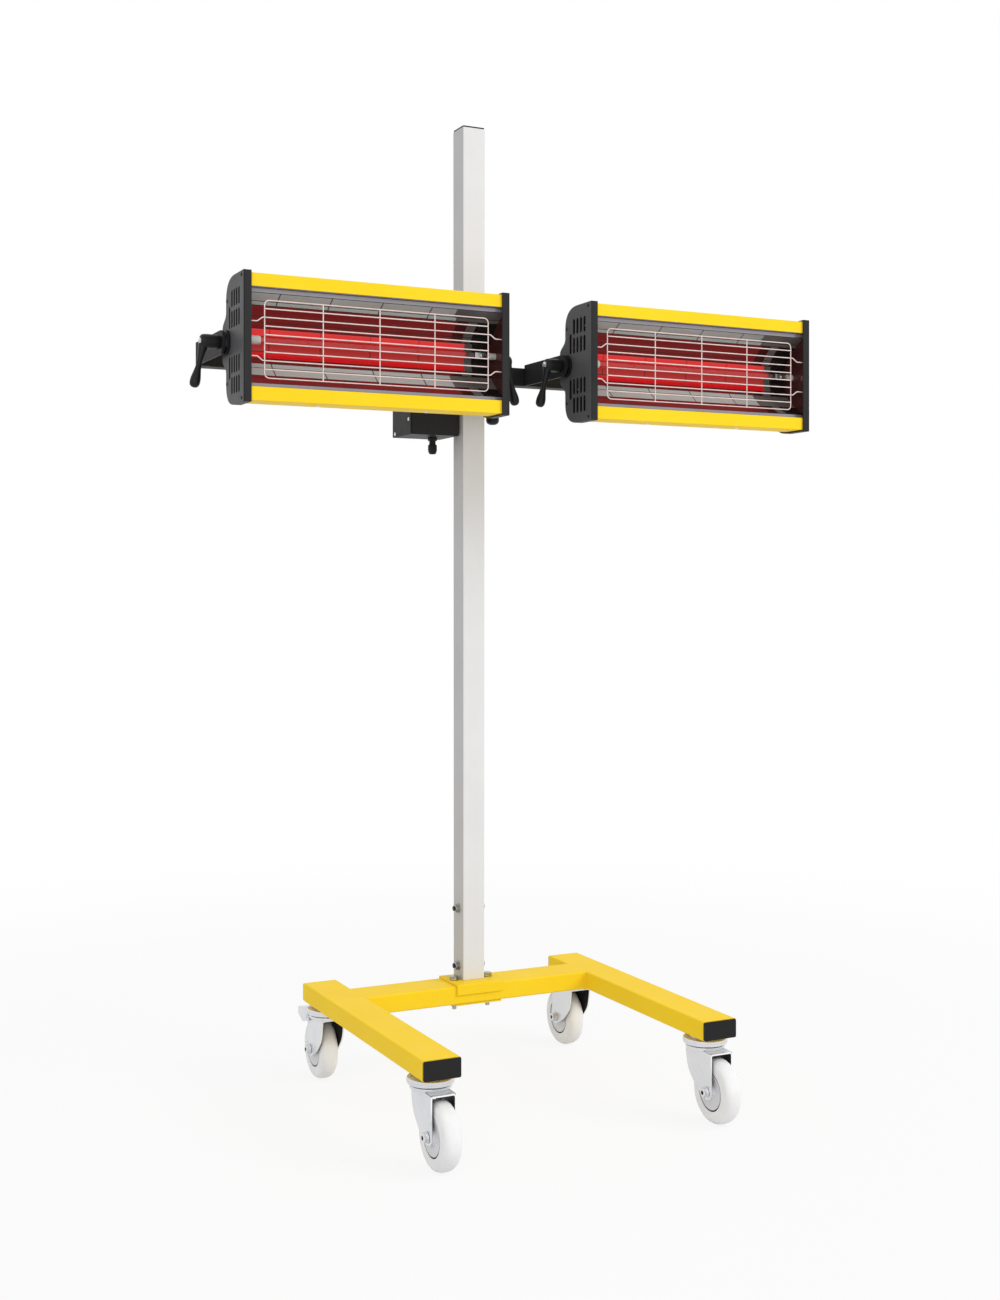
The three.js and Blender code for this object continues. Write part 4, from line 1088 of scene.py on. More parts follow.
@dataclass
class Caster:
    """One swivel caster: raceway, fork, axle, nylon wheel and, at the rear, a brake pedal."""

    word: str
    end: float
    raceway_radius: float = 0.0345
    raceway_height: float = 0.010
    cup_lip: float = 0.0016
    cup_foot: float = 1.5
    cup_roof: float = 1.6
    cup_turn: float = 70.0
    neck_shares: Pair = (0.3, 0.4)
    neck_radius: float = 0.025
    neck_slope: float = 0.004
    neck: float = 0.003
    seam_share: float = 0.42
    seam_section: Section = ((-0.001, -0.0007), (0.0004, -0.0004), (0.0004, 0.0004), (-0.001, 0.0007))
    shade_ring: float = 0.0014
    shade_ring_inset: float = 0.0024
    dish_radius: float = 0.0312
    dish_lip: float = 0.0012
    sink: float = 0.0004
    pin_head_section: Section = ((0.0, -0.004), (0.006, -0.0038), (0.0085, -0.002), (0.009, 0.0),
                                 (0.0, 0.0))
    trail: float = 0.0335
    plate_top: float = 0.110
    fork_width: float = 0.040
    fork_edge: float = 0.0003
    sheet: float = 0.0025
    heel: float = 0.025
    toe: float = 0.012
    toe_arc: Pair = (-126.0, 0.0)
    toe_steps: int = 14
    heel_shares: Section = ((0.0, 1.0), (0.008, 0.86), (0.106, 0.51), (0.397, 0.2))
    heel_steps: int = 6
    bend: float = 0.004
    cheek_share: float = 0.9
    edge_share: float = 0.3
    level_share: float = 0.95
    wheel_radius: float = 0.050
    tread_section: Section = ((0.0302, 0.0128), (0.0304, 0.0140), (0.0308, 0.0142), (0.0420, 0.0142),
                              (0.0448, 0.0135), (0.0468, 0.0120), (0.0486, 0.0090), (0.0496, 0.0062),
                              (0.0500, 0.0024))
    hub_section: Section = ((0.0044, 0.0172), (0.0110, 0.0172), (0.0122, 0.0137), (0.0140, 0.0125),
                            (0.0220, 0.0125), (0.0246, 0.0133), (0.0276, 0.0139), (0.0280, 0.0136),
                            (0.0282, 0.0128))
    groove_section: Section = ((0.0276, 0.0128), (0.0308, 0.0128))
    fixing: Hardware = field(default_factory=lambda: Hardware(washer_radius=0.0085, washer=0.0018,
                                                              washer_lip=0.0004, head=0.0055))
    pedal_corner: float = 0.0022
    pedal_shortest: float = 0.04
    pedal_edge: float = 0.0004

    def build(self) -> None:
        """Builds every piece of the caster."""
        self.pin = middle_of(f"caster_raceway_{self.word}")
        self.pin.z = 0.0
        self.axle_spot = middle_of(f"caster_wheel_{self.word}")
        self.axle_spot.z = self.wheel_radius
        self.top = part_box("left_leg")[0].z - SEAT_GAP
        self.raceway()
        self.fork()
        self.axle()
        self.wheel()
        if self.end > 0.0:
            self.pedal()

    def raceway(self) -> None:
        """Builds the two pressed raceway cups under the leg, with the seam between them."""
        neck_bottom = self.top - self.neck
        bottom = neck_bottom - self.raceway_height
        lip = self.cup_lip
        profile = [(0.0, bottom), (self.raceway_radius - lip * self.cup_foot, bottom)]
        profile += arc((self.raceway_radius - lip, bottom + lip), lip, -90.0, 0.0, 4)
        profile += arc((self.raceway_radius - lip, neck_bottom - lip * self.cup_roof), lip, 0.0,
                       self.cup_turn, 4)
        down, up = self.neck_shares
        profile += [(self.neck_radius + self.neck_slope, neck_bottom - lip * down),
                    (self.neck_radius, neck_bottom + lip * up), (self.neck_radius, self.top),
                    (0.0, self.top)]
        shape = Shape().turned(Axis.Z, profile, self.pin, steps=72)
        middle = bottom + self.raceway_height * self.seam_share
        seam = [(self.raceway_radius + out, middle + up) for out, up in self.seam_section]
        shape.turned(Axis.Z, seam, self.pin, steps=72, closed=True)
        shape.finish(f"raceway_cups_{self.word}", "base", [ZINC], [f"caster_raceway_{self.word}"])

    def cheek_outline(self) -> list[Pair]:
        """Outlines one side of the fork as pairs of Y and Z.

        Returns:
            The outline, in the frame.
        """
        length = self.heel + self.trail + self.toe
        bottom = self.wheel_radius - self.toe
        height = self.plate_top - bottom
        points = [(length * along - self.heel, bottom + height * up) for along, up in self.heel_shares]
        points = self.softened(points)
        points += arc((self.trail, self.wheel_radius), self.toe, *self.toe_arc, self.toe_steps)
        points.append((self.trail + self.toe, self.plate_top))
        return [(self.pin.y + self.end * along, up) for along, up in points]

    def softened(self, points: Sequence[Pair]) -> list[Pair]:
        """Draws a smooth curve through the heel's points.

        Args:
            points: Points chosen along the heel's edge.

        Returns:
            Points of the curve.
        """
        spots = [Vector((a, b)) for a, b in points]
        spots = [spots[0] * 2.0 - spots[1], *spots, spots[-1] * 2.0 - spots[-2]]
        curve = []
        for i in range(1, len(spots) - 2):
            before, first, second, after = spots[i - 1:i + 3]
            for k in range(self.heel_steps):
                t = k / self.heel_steps
                curve.append(0.5 * (2.0 * first + (second - before) * t
                                    + (2.0 * before - 5.0 * first + 4.0 * second - after) * t * t
                                    + (3.0 * first - before - 3.0 * second + after) * t ** 3))
        return [(spot.x, spot.y) for spot in curve] + [tuple(points[-1])]

    def fork(self) -> None:
        """Builds the pressed fork: two cheeks, their plate and the dish over it."""
        outline = self.cheek_outline()
        if self.end < 0.0:
            outline.reverse()
        shape = Shape()
        half = self.fork_width / 2.0
        for way in (-1.0, 1.0):
            outer = self.pin.x + way * half
            shape.slab(Axis.X, outline, in_order(outer, self.pin.x + way * (half - self.sheet)))
        rear = self.pin.y - self.end * self.heel
        near, far = in_order(rear, self.pin.y + self.end * (self.trail + self.toe))
        inset = self.sheet * 0.5
        shape.block((self.pin.x - half + inset, near, self.plate_top - self.sheet),
                    (self.pin.x + half - inset, far, self.plate_top))
        radius = self.bend * 0.5
        for way in (-1.0, 1.0):
            x = self.pin.x + way * (half - radius)
            z = self.plate_top - radius
            shape.swept([(x, near + self.sink, z), (x, far - self.sink, z)], radius, 20)
        self.shade_inside(shape)
        self.dish(shape)
        shape.finish(f"fork_press_{self.word}", f"caster_{self.word}", [ZINC, ZINC_SHADE, ZINC_EDGE_HIGHLIGHT],
                     [f"caster_fork_{self.word}"], self.fork_edge)

    def shade_inside(self, shape: Shape) -> None:
        """Gives the fork's inside and underside their painted shade and its sheet edges their painted
        highlight.

        Args:
            shape: Shape of the fork, without its dish.
        """
        # Inner cheek faces and undersides get painted shade, the sheet's edges a painted highlight.
        for face in shape.mesh.faces:
            across = face.calc_center_median().x - self.pin.x
            if abs(face.normal.x) < self.edge_share and abs(face.normal.z) < self.level_share:
                face.material_index = 2
            elif face.normal.x * across < 0.0 and abs(face.normal.x) > self.cheek_share:
                face.material_index = 1
            elif face.normal.z < -self.level_share:
                face.material_index = 1

    def dish(self, shape: Shape) -> None:
        """Adds the round dish, the ring on it in painted shade and the king pin's head under the plate.

        Args:
            shape: Shape of the fork.
        """
        top = self.top - self.neck - self.raceway_height - SEAT_GAP
        high = top - self.shade_ring
        low = self.plate_top - self.sink
        lip = self.dish_lip
        profile = [(0.0, low), (self.dish_radius - lip, low), (self.dish_radius - lip / 3.0, low + lip)]
        profile += arc((self.dish_radius - lip, high - lip), lip, 0.0, 90.0, 5)
        profile += [(0.0, high)]
        shape.turned(Axis.Z, profile, self.pin, steps=72)
        # The ring between the dish and the raceway is in painted shade.
        ring = bar_section(self.dish_radius - self.shade_ring_inset, high - self.sink / 2.0, top)
        shape.turned(Axis.Z, ring, self.pin, steps=72, finish=1)
        head = [(radius, self.plate_top - self.sheet + up) for radius, up in self.pin_head_section]
        shape.turned(Axis.Z, head, self.pin, steps=32)

    def axle(self) -> None:
        """Builds the axle bolt with its washers, head and nut."""
        shape = Shape()
        half = self.fork_width / 2.0 + SEAT_GAP
        fixing = self.fixing
        for way in (-1.0, 1.0):
            tip = fixing.seat(shape, Axis.X, self.axle_spot, way * half, way)
            fixing.thread(shape, Axis.X, self.axle_spot, tip - way * fixing.tail, way * fixing.tail)
        shape.turned(Axis.X, bar_section(fixing.shank_radius, -half, half), self.axle_spot, steps=24)
        shape.finish(f"axle_bolt_{self.word}", f"caster_{self.word}", [ZINC], [f"caster_axle_{self.word}"])

    def wheel(self) -> None:
        """Builds the moulded wheel: crowned tread, grey hub and the dark groove between them."""
        shape = Shape()
        sections = ((self.tread_section, 96), (self.hub_section, 72), (self.groove_section, 96))
        for finish, (half, steps) in enumerate(sections):
            whole = half + tuple((radius, -along) for radius, along in reversed(half))
            shape.turned(Axis.X, whole, self.axle_spot, steps, True, finish)
        shape.finish(f"nylon_wheel_{self.word}", f"wheel_{self.word}", [NYLON, NYLON_HUB, DARK_GROOVE],
                     [f"caster_wheel_{self.word}"])

    def pedal(self) -> None:
        """Builds the pressed brake pedal."""
        node = f"brake_pedal_{self.word}"
        shape = Shape.of_node(node).round_long_edges(Axis.X, self.pedal_corner, self.pedal_shortest)
        shape.finish(f"pedal_press_{self.word}", f"pedal_{self.word}", [ZINC], [node], self.pedal_edge)


@dataclass
class ClampLever:
    """A moulded clamping lever whose handle hangs from its hub."""

    hub_length: float
    length: float
    ball_radius: float
    slant: float
    hub_radius: float = 0.0106
    neck_radius: float = 0.0054
    handle_share: float = 0.80
    hub_shares: Section = ((0.80, 0.0), (0.92, 0.06), (0.97, 0.16), (1.0, 0.3), (1.0, 0.72), (0.97, 0.86),
                           (0.88, 0.95), (0.72, 1.0))
    handle_shares: Section = ((1.35, 0.0), (1.28, 0.1), (1.1, 0.2), (0.88, 0.32), (0.74, 0.45),
                              (0.78, 0.55), (0.95, 0.64))
    ball_shares: Section = ((0.84, 0.73), (0.96, 0.8), (1.0, 0.87), (0.96, 0.92), (0.82, 0.96),
                            (0.55, 0.988), (0.25, 0.998))
    recess: float = 0.0015
    screw_radius: float = 0.0056
    screw_rise: float = 0.0019
    screw_gap: float = 0.0004
    screw_root: float = 0.0005
    screw_section: Section = ((1.0, -0.0009), (0.85, -0.0003), (0.45, 0.0), (0.3, -0.0009), (0.0, -0.001))

    def shape(self, spot: Vector, way: float) -> Shape:
        """Builds the lever.

        Args:
            spot: Where its axis meets the face that it clamps.
            way: 1 or -1, the way that its hub points along X.

        Returns:
            The shape, with the screw in the second finish.
        """
        made = Shape()
        length = self.hub_length - SEAT_GAP
        hub = [(0.0, SEAT_GAP)]
        hub += [(self.hub_radius * wide, SEAT_GAP + length * out) for wide, out in self.hub_shares]
        hub += [(self.screw_radius, self.hub_length), (self.screw_radius, self.hub_length - self.recess),
                (0.0, self.hub_length - self.recess)]
        made.turned(Axis.X, hub, (0.0, 0.0, 0.0))
        handle = [(0.0, 0.0)]
        handle += [(self.neck_radius * wide, self.length * down) for wide, down in self.handle_shares]
        handle += [(self.ball_radius * wide, self.length * down) for wide, down in self.ball_shares]
        handle += [(0.0, self.length)]
        arm = Shape().turned(Axis.Z, handle, (0.0, 0.0, 0.0), steps=40)
        lean = Matrix.Rotation(math.radians(180.0 - self.slant), 4, "Y")
        arm.place(Matrix.Translation((self.hub_length * self.handle_share, 0.0, 0.0)) @ lean)
        made.absorb(arm.mesh, 0)
        root = self.hub_length - self.recess - self.screw_root
        reach = self.screw_radius - self.screw_gap
        crown = self.hub_length + self.screw_rise
        screw = [(0.0, root), (reach, root)]
        screw += [(reach * wide, crown + up) for wide, up in self.screw_section]
        made.turned(Axis.X, screw, (0.0, 0.0, 0.0), steps=28, finish=1)
        if way < 0.0:
            made.place(Matrix.Rotation(math.pi, 4, "Z"))
        return made.place(Matrix.Translation(spot))


@dataclass
class Carriage:
    """The sleeve on the post with its swivel boss, slide lever and control box."""

    tube_corner: float = 0.003
    sheet_edge: float = 0.0004
    bore_half: float = 0.0203
    sink: float = 0.001
    boss_radius: float = 0.025
    boss_lip: float = 0.0012
    boss_ripples: int = 96
    weld_radius: float = 0.0022
    weld_gap: float = 0.0002
    spigot_radius: float = 0.018
    clamp_drop: float = 0.010
    clamp_radius: float = 0.011
    clamp_bore: float = 0.0043
    clamp_lip: float = 0.0008
    lever: ClampLever = field(default_factory=lambda: ClampLever(0.018, 0.067, 0.0113, 0.0))
    stud_radius: float = 0.004
    stud_span: Pair = (-0.009, 0.002)
    box_edge: float = 0.0014
    lid_edge: float = 0.0007
    lid_screws: Section = ((0.1567, 1.1086), (0.2153, 1.0882), (0.1567, 1.1745))
    gland_radius: float = 0.0075
    gland_length: float = 0.028
    gland_flats: float = 0.01425
    gland_hexagon: float = 0.2
    gland_neck: tuple[float, float, float] = (0.74, 0.15, 0.5)
    gland_shares: Section = ((0.0, 0.42), (0.92, 0.42), (0.98, 0.46), (0.98, 0.82), (0.86, 0.93),
                             (0.66, 1.0), (0.52, 1.0), (0.46, 0.9), (0.0, 0.88))
    gland_edge: float = 0.0003
    flutes: int = 18
    flute_shares: Pair = (0.94, 0.09)
    flute_span: Pair = (0.48, 0.8)
    rocker_corner: float = 0.0012
    rocker_shortest: float = 0.015
    rocker_edge: float = 0.0004
    frame_width: float = 0.0035
    frame_gap: float = 0.0007
    frame_rise: float = 0.0013
    frame_corner: float = 0.0015

    def build(self) -> None:
        """Builds every piece of the carriage."""
        self.sleeve()
        self.slide_lever()
        self.box()
        self.gland()
        self.switch()

    def sleeve(self) -> None:
        """Builds the sleeve with its turned swivel boss and clamp boss."""
        low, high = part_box("carriage_sleeve")
        centre_y = middle_of("post").y
        half = high.y - centre_y
        swivel_z = middle_of("cross_tube").z
        shape = Shape()
        outer = rectangle(2.0 * half, 2.0 * half, (0.0, centre_y))
        bore = rectangle(2.0 * self.bore_half, 2.0 * self.bore_half, (0.0, centre_y))
        shape.slab(Axis.Z, outer, (low.z, high.z), self.tube_corner, holes=[bore])
        front = centre_y - half
        inner = self.spigot_radius + SEAT_GAP
        ring = [(inner, low.y), (self.boss_radius - self.boss_lip, low.y),
                (self.boss_radius, low.y + self.boss_lip), (self.boss_radius, front + self.sink),
                (inner, front + self.sink)]
        shape.turned(Axis.Y, ring, (0.0, 0.0, swivel_z), steps=72, closed=True)
        line = circle((0.0, swivel_z), self.boss_radius + self.weld_gap, self.boss_ripples)
        swell = [1.0 if i % 2 else WELD_VALLEY for i in range(self.boss_ripples)]
        shape.swept([(x, front, z) for x, z in line], self.weld_radius, 8, closed=True, swell=swell)
        clamp_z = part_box("carriage_lever")[1].z - self.clamp_drop
        boss = [(self.clamp_bore, half - self.sink), (self.clamp_radius, half - self.sink),
                (self.clamp_radius, high.x - self.clamp_lip), (self.clamp_radius - self.clamp_lip, high.x),
                (self.clamp_bore, high.x)]
        shape.turned(Axis.X, boss, (0.0, centre_y, clamp_z), closed=True)
        shape.finish("post_carriage", "carriage", [BLACK_PAINT], ["carriage_sleeve"], self.sheet_edge)
        self.clamp_spot = Vector((high.x, centre_y, clamp_z))

    def slide_lever(self) -> None:
        """Builds the lever that clamps the carriage on the post, with its stud."""
        shape = self.lever.shape(self.clamp_spot, 1.0)
        shape.turned(Axis.X, bar_section(self.stud_radius, *self.stud_span), self.clamp_spot, steps=20,
                     finish=1)
        shape.finish("slide_clamp_lever", "slide_lever", [BLACK_PLASTIC, ZINC], ["carriage_lever"])

    def box(self) -> None:
        """Builds the control box, its lid and its screws."""
        body = Shape.of_node("control_box_body")
        body.finish("control_box_shell", "carriage", [SATIN_BLACK], ["control_box_body"], self.box_edge, 3)
        lid = Shape.of_node("control_box_lid")
        lid.finish("control_box_cover", "carriage", [SATIN_BLACK], ["control_box_lid"], self.lid_edge)
        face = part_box("control_box_lid")[0].x
        screws = Shape()
        for y, z in self.lid_screws:
            HARDWARE.pan_screw(screws, Axis.X, Vector((face, y, z)), -1.0)
        screws.finish("control_box_screws", "carriage", [ZINC])

    def gland(self) -> None:
        """Builds the cable gland: hexagon, neck and fluted dome nut with its mouth."""
        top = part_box("control_box_body")[0].z - SEAT_GAP
        centre = middle_of("cable_gland")
        centre.z = 0.0
        radius = self.gland_radius
        length = self.gland_length
        shape = Shape()
        body = Hardware(flats=self.gland_flats)
        body.hexagon(shape, Axis.Z, centre, top, -length * self.gland_hexagon)
        wide, start, end = self.gland_neck
        neck = bar_section(radius * wide, top - length * start, top - length * end)
        shape.turned(Axis.Z, neck, centre)
        nut = [(radius * wide, top - length * down) for wide, down in self.gland_shares]
        shape.turned(Axis.Z, nut, centre)
        out, thick = self.flute_shares
        for x, y in circle((centre.x, centre.y), radius * out, self.flutes):
            line = [(x, y, top - length * down) for down in self.flute_span]
            shape.swept(line, radius * thick, 6)
        shape.finish("cable_gland_nut", "carriage", [BLACK_PLASTIC], ["cable_gland"], self.gland_edge)

    def switch(self) -> None:
        """Builds the rocker and the raised frame round it."""
        shape = Shape.of_node("lamp_switch")
        shape.round_long_edges(Axis.X, self.rocker_corner, self.rocker_shortest)
        shape.finish("rocker_cap", "switch", [BLACK_PLASTIC], ["lamp_switch"], self.rocker_edge)
        low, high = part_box("lamp_switch")
        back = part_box("control_box_body")[1].y
        size = high - low
        middle = middle_of("lamp_switch")
        inner, outer = [rectangle(size.x + 2.0 * room, size.z + 2.0 * room, (middle.x, middle.z))
                        for room in (self.frame_gap, self.frame_width)]
        frame = Shape().slab(Axis.Y, outer, (back, back + self.frame_rise), self.frame_corner, holes=[inner])
        frame.finish("rocker_frame", "carriage", [BLACK_PLASTIC], (), self.rocker_edge)


@dataclass
class Yoke:
    """The turning cross tube with its four arms."""

    tube_size: float = 0.030
    tube_corner: float = 0.0028
    tube_wall: float = 0.002
    tube_edge: float = 0.0003
    disc_radius: float = 0.025
    disc_lip: float = 0.0008
    spigot_radius: float = 0.018
    spigot_wall: float = 0.004
    sink: float = 0.001
    arm_radius: float = 0.0175
    arm_hole: float = 0.0045
    arm_sheet: float = 0.004
    arm_edge: float = 0.0006
    flange: float = 0.022
    flange_corner: float = 0.0008
    weld_radius: float = 0.0018
    weld_pitch: float = 0.003
    cap_inset: float = 0.0006
    cap_depth: float = 0.004
    cap_edge: float = 0.0005
    end_inset: float = 0.010

    def build(self) -> None:
        """Builds every piece of the yoke."""
        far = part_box("cross_tube")[1]
        self.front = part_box("left_lamp_arm_outer")[1].y + SEAT_GAP
        self.back = self.front + self.tube_size
        self.swivel_end = far.y
        self.half = far.x - self.end_inset
        self.middle_z = middle_of("cross_tube").z
        self.tube()
        self.caps()
        for word in SIDES:
            for place in ("outer", "inner"):
                self.arm(word, place)

    def square(self, inset: float) -> list[Pair]:
        """Outlines the tube's section, moved in on each side, as pairs of Y and Z."""
        size = self.tube_size - 2.0 * inset
        return rectangle(size, size, ((self.front + self.back) / 2.0, self.middle_z))

    def tube(self) -> None:
        """Builds the square tube with the disc and spigot that turn in the carriage."""
        shape = Shape()
        shape.slab(Axis.X, self.square(0.0), (-self.half, self.half), self.tube_corner,
                   holes=[self.square(self.tube_wall)])
        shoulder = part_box("carriage_sleeve")[0].y - SEAT_GAP
        root = self.back - self.sink
        bore = self.spigot_radius - self.spigot_wall
        swivel = [(bore, root), (self.disc_radius, root), (self.disc_radius, shoulder - self.disc_lip),
                  (self.disc_radius - self.disc_lip, shoulder), (self.spigot_radius, shoulder),
                  (self.spigot_radius, self.swivel_end), (bore, self.swivel_end)]
        shape.turned(Axis.Y, swivel, (0.0, 0.0, self.middle_z), steps=72, closed=True)
        shape.finish("yoke_tube", "yoke", [BLACK_PAINT], ["cross_tube"], self.tube_edge)

    def caps(self) -> None:
        """Closes the tube's ends with flush plugs."""
        shape = Shape()
        for way in (-1.0, 1.0):
            span = in_order(way * self.half, way * (self.half - self.cap_depth))
            shape.slab(Axis.X, self.square(self.cap_inset), span, self.tube_corner - self.cap_inset)
        shape.finish("yoke_end_plugs", "yoke", [BLACK_PLASTIC], (), self.cap_edge)

    def arm(self, word: str, place: str) -> None:
        """Builds one arm with its round end, its flange and its weld bead.

        Args:
            word: left or right lamp.
            place: outer or inner arm.
        """
        node = f"{word}_lamp_arm_{place}"
        low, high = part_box(node)
        pivot = (low.y + self.arm_radius, middle_of(node).z)
        outline = arc(pivot, self.arm_radius, 270.0, 90.0, 24)
        outline += [(high.y, high.z), (high.y, low.z)]
        hole = circle(pivot, self.arm_hole, 24)
        shape = Shape().slab(Axis.X, outline, (low.x, high.x), holes=[hole])
        inward = math.copysign(1.0, low.x) * (-1.0 if place == "outer" else 1.0)
        root = low.x if inward > 0.0 else high.x
        far = root + inward * self.flange
        near, end = in_order(root, far)
        shape.block((near, high.y - self.arm_sheet, low.z), (end, high.y, high.z), self.flange_corner, 2)
        shape.finish(f"arm_plate_{word}_{place}", "yoke", [BLACK_PAINT], [node], self.arm_edge)
        half = self.tube_size / 2.0 - self.sink
        line = [(far, self.front, self.middle_z - half), (far, self.front, self.middle_z + half)]
        path, swell = weld_path(line, self.weld_pitch)
        bead = Shape().swept(path, self.weld_radius, swell=swell)
        bead.finish(f"arm_weld_{word}_{place}", "yoke", [BLACK_PAINT])


@dataclass
class Cassette:
    """One lamp: housing, two end caps, reflector, emitter, guard and two levers."""

    word: str
    width: float = 0.418
    height: float = 0.186
    pivot_depth: float = 0.079
    bulge_depth: float = 0.103
    shoulder_depth: float = 0.085
    flat_top_depth: float = 0.045
    shoulder_drop: float = 0.034
    bulge_start: float = 0.048
    bulge_end: float = 0.072
    curve_steps: int = 12
    cap_depth: float = 0.012
    cap_sheet: float = 0.002
    cap_rim: float = 0.0025
    cap_edge: float = 0.0005
    face_share: float = 0.9
    sheet: float = 0.0012
    sheet_edge: float = 0.0009
    end_share: float = 0.5
    mitre_share: float = 0.2
    top_bar: float = 0.019
    bottom_bar: float = 0.020
    bar_return: float = 0.009
    vent_width: float = 0.0064
    vent_height: float = 0.0250
    vent_pitch: float = 0.0114
    vent_first: float = 0.0216
    vent_columns: int = 4
    vent_top: float = 0.0205
    vent_bottom: float = 0.0155
    vent_row_pitch: float = 0.0298
    rear_vent_height: float = 0.032
    friction_disc: float = 0.007
    spacer_radius: float = 0.018
    spacer_edge: float = 0.0004
    teeth: int = 24
    tooth_depth: float = 0.0009
    tooth_share: float = 0.55
    disc_share: float = 0.5
    washer_share: float = 0.35
    washer_bore: float = 0.0045
    lever_gap: float = 0.004
    reflector_front: float = 0.0125
    reflector_depth: float = 0.056
    reflector_sheet: float = 0.001
    reflector_edge: float = 0.0003
    reflector_half: float = 0.0679
    reflector_folds: Section = ((0.0, 0.943), (0.297, 0.809), (0.400, 0.739), (0.680, 0.550),
                                (0.800, 0.440), (0.900, 0.319), (0.975, 0.163))
    lip_half: float = 0.0710
    lip_return: float = 0.009
    bands: tuple[PaintedBand, ...] = (PaintedBand.LIP, PaintedBand.LIP, PaintedBand.SHADE, PaintedBand.ROOM, PaintedBand.DIM, PaintedBand.DIM, PaintedBand.DIM,
                               PaintedBand.BRIGHT, PaintedBand.MID, PaintedBand.DEEP, PaintedBand.DIM, PaintedBand.ROOM, PaintedBand.ROOM, PaintedBand.DIM,
                               PaintedBand.DIM, PaintedBand.LIP, PaintedBand.LIP)
    # Places along the lamp of the painted dark reflection lines, and their half width.
    joints: tuple[float, ...] = (-0.150, -0.071, 0.008, 0.087)
    painted_line_half: float = 0.0008
    fold_width: float = 0.0006
    emitter_depth: float = 0.044
    emitter_rise: float = 0.0015
    emitter_radius: float = 0.006
    dome_share: float = 0.8
    dome_angles: tuple[float, ...] = (0.3, 0.6, 0.9, 1.2, 1.45)
    sink: float = 0.001
    holder_length: float = 0.0365
    holder_radius: float = 0.0064
    holder_shares: Section = ((1.0, 0.5), (0.94, 0.2), (0.8, 0.03125), (0.0, 0.0))
    socket_shares: Pair = (0.74, 0.8)
    socket_lip: float = 0.0006
    lead_length: float = 0.050
    lead_radius: float = 0.0011
    pinch_share: float = 0.3
    socket_share: float = 0.24
    pinch_size: FlatBar = (-0.0012, 0.0012, 0.0042, 0.0008)
    clip_sizes: tuple[FlatBar, ...] = ((-0.0035, -0.0021, 0.0045, 0.0005),
                                       (0.0008, 0.0018, 0.0040, 0.0004))
    clip_length: float = 0.018
    clip_screw: Pair = (0.55, -0.0034)
    clip_screw_size: Pair = (0.0026, 0.0016)
    guard_width: float = 0.352
    guard_height: float = 0.1105
    guard_depth: float = 0.006
    guard_drop: float = 0.0024
    guard_corner: float = 0.007
    guard_corner_steps: int = 7
    wire_radius: float = 0.0009
    wire_lap: float = 1.5
    guard_jog: float = 0.006
    guard_uprights: int = 5
    guard_bars: int = 10
    jogged_bar: int = 2
    jog_shares: Section = ((0.0, 0.0), (0.13, 0.0), (0.17, 0.06), (0.28, 0.5), (0.39, 0.94), (0.43, 1.0),
                           (1.0, 1.0))
    lever: ClampLever = field(default_factory=lambda: ClampLever(0.029, 0.0692, 0.0076, 12.9))
    screw_places: Section = ((0.010, 0.006), (0.0095, 0.180), (0.080, 0.033), (0.080, 0.153))
    screw_size: Pair = (0.0026, 0.0013)
    sheet_screws: Section = ((-0.086, 0.035), (0.086, 0.035))

    def build(self) -> None:
        """Builds every piece of the lamp, about its tilt axis."""
        self.body = f"{self.word}_lamp"
        low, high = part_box(f"{self.body}_end_cap_left")
        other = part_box(f"{self.body}_end_cap_right")[1]
        self.centre_x = (low.x + other.x) / 2.0
        self.face_y = low.y
        self.middle_z = (low.z + high.z) / 2.0
        self.centre = Vector((self.centre_x, self.face_y + self.pivot_depth, self.middle_z))
        self.housing()
        self.reflector()
        self.emitter()
        self.guard()
        for end in SIDES:
            self.end_cap(end)
            self.spacer(end)
            self.cap_screws(end)
            self.tilt_lever(end)

    def outer_face(self, end: str) -> float:
        """Tells where the outer face of an end cap lies along X."""
        return self.centre_x + SIDES[end] * self.width / 2.0

    def side_curve(self) -> list[Pair]:
        """Draws the D-shaped side of the lamp.

        Returns:
            Pairs of Y and Z from the lower front corner, round the back, to the upper front corner.
        """
        half = self.height / 2.0
        middle = half - (self.bulge_start + self.bulge_end) / 2.0
        shoulder = self.shoulder_depth
        bulge = self.bulge_depth
        upper = [(0.0, half), (self.flat_top_depth, half)]
        roof = [(self.flat_top_depth, half), (shoulder, half), (shoulder, half - self.shoulder_drop)]
        upper += self.bent(roof)[1:]
        upper += self.bent([(shoulder, half - self.bulge_start), (shoulder, middle), (bulge, middle),
                            (bulge, half - self.bulge_end)])
        lower = [(depth, -up) for depth, up in upper]
        return [(self.face_y + depth, self.middle_z + up) for depth, up in lower + upper[::-1]]

    def bent(self, pulls: Sequence[Pair]) -> list[Pair]:
        """Draws a smooth curve between two points that others pull on.

        Args:
            pulls: The first point, the points that pull, and the last point.

        Returns:
            Points of the curve.
        """
        curve = []
        for i in range(self.curve_steps + 1):
            share = i / self.curve_steps
            spots = [Vector(pull) for pull in pulls]
            while len(spots) > 1:
                spots = [first.lerp(second, share) for first, second in zip(spots, spots[1:])]
            curve.append((spots[0].x, spots[0].y))
        return curve

    def inner_curve(self, distance: float) -> list[Pair]:
        """Moves the side curve inwards.

        Args:
            distance: How far each edge moves.

        Returns:
            The moved curve, in the same order.
        """
        points = [Vector(point) for point in self.side_curve()]
        count = len(points)
        moved = []
        for i in range(count):
            before = (points[i] - points[i - 1]).normalized()
            after = (points[(i + 1) % count] - points[i]).normalized()
            normal = Vector((-(before + after).y, (before + after).x)).normalized()
            across = max(self.mitre_share, normal.dot(Vector((-before.y, before.x))))
            moved.append(points[i] + normal * (distance / across))
        return [(point.x, point.y) for point in moved]

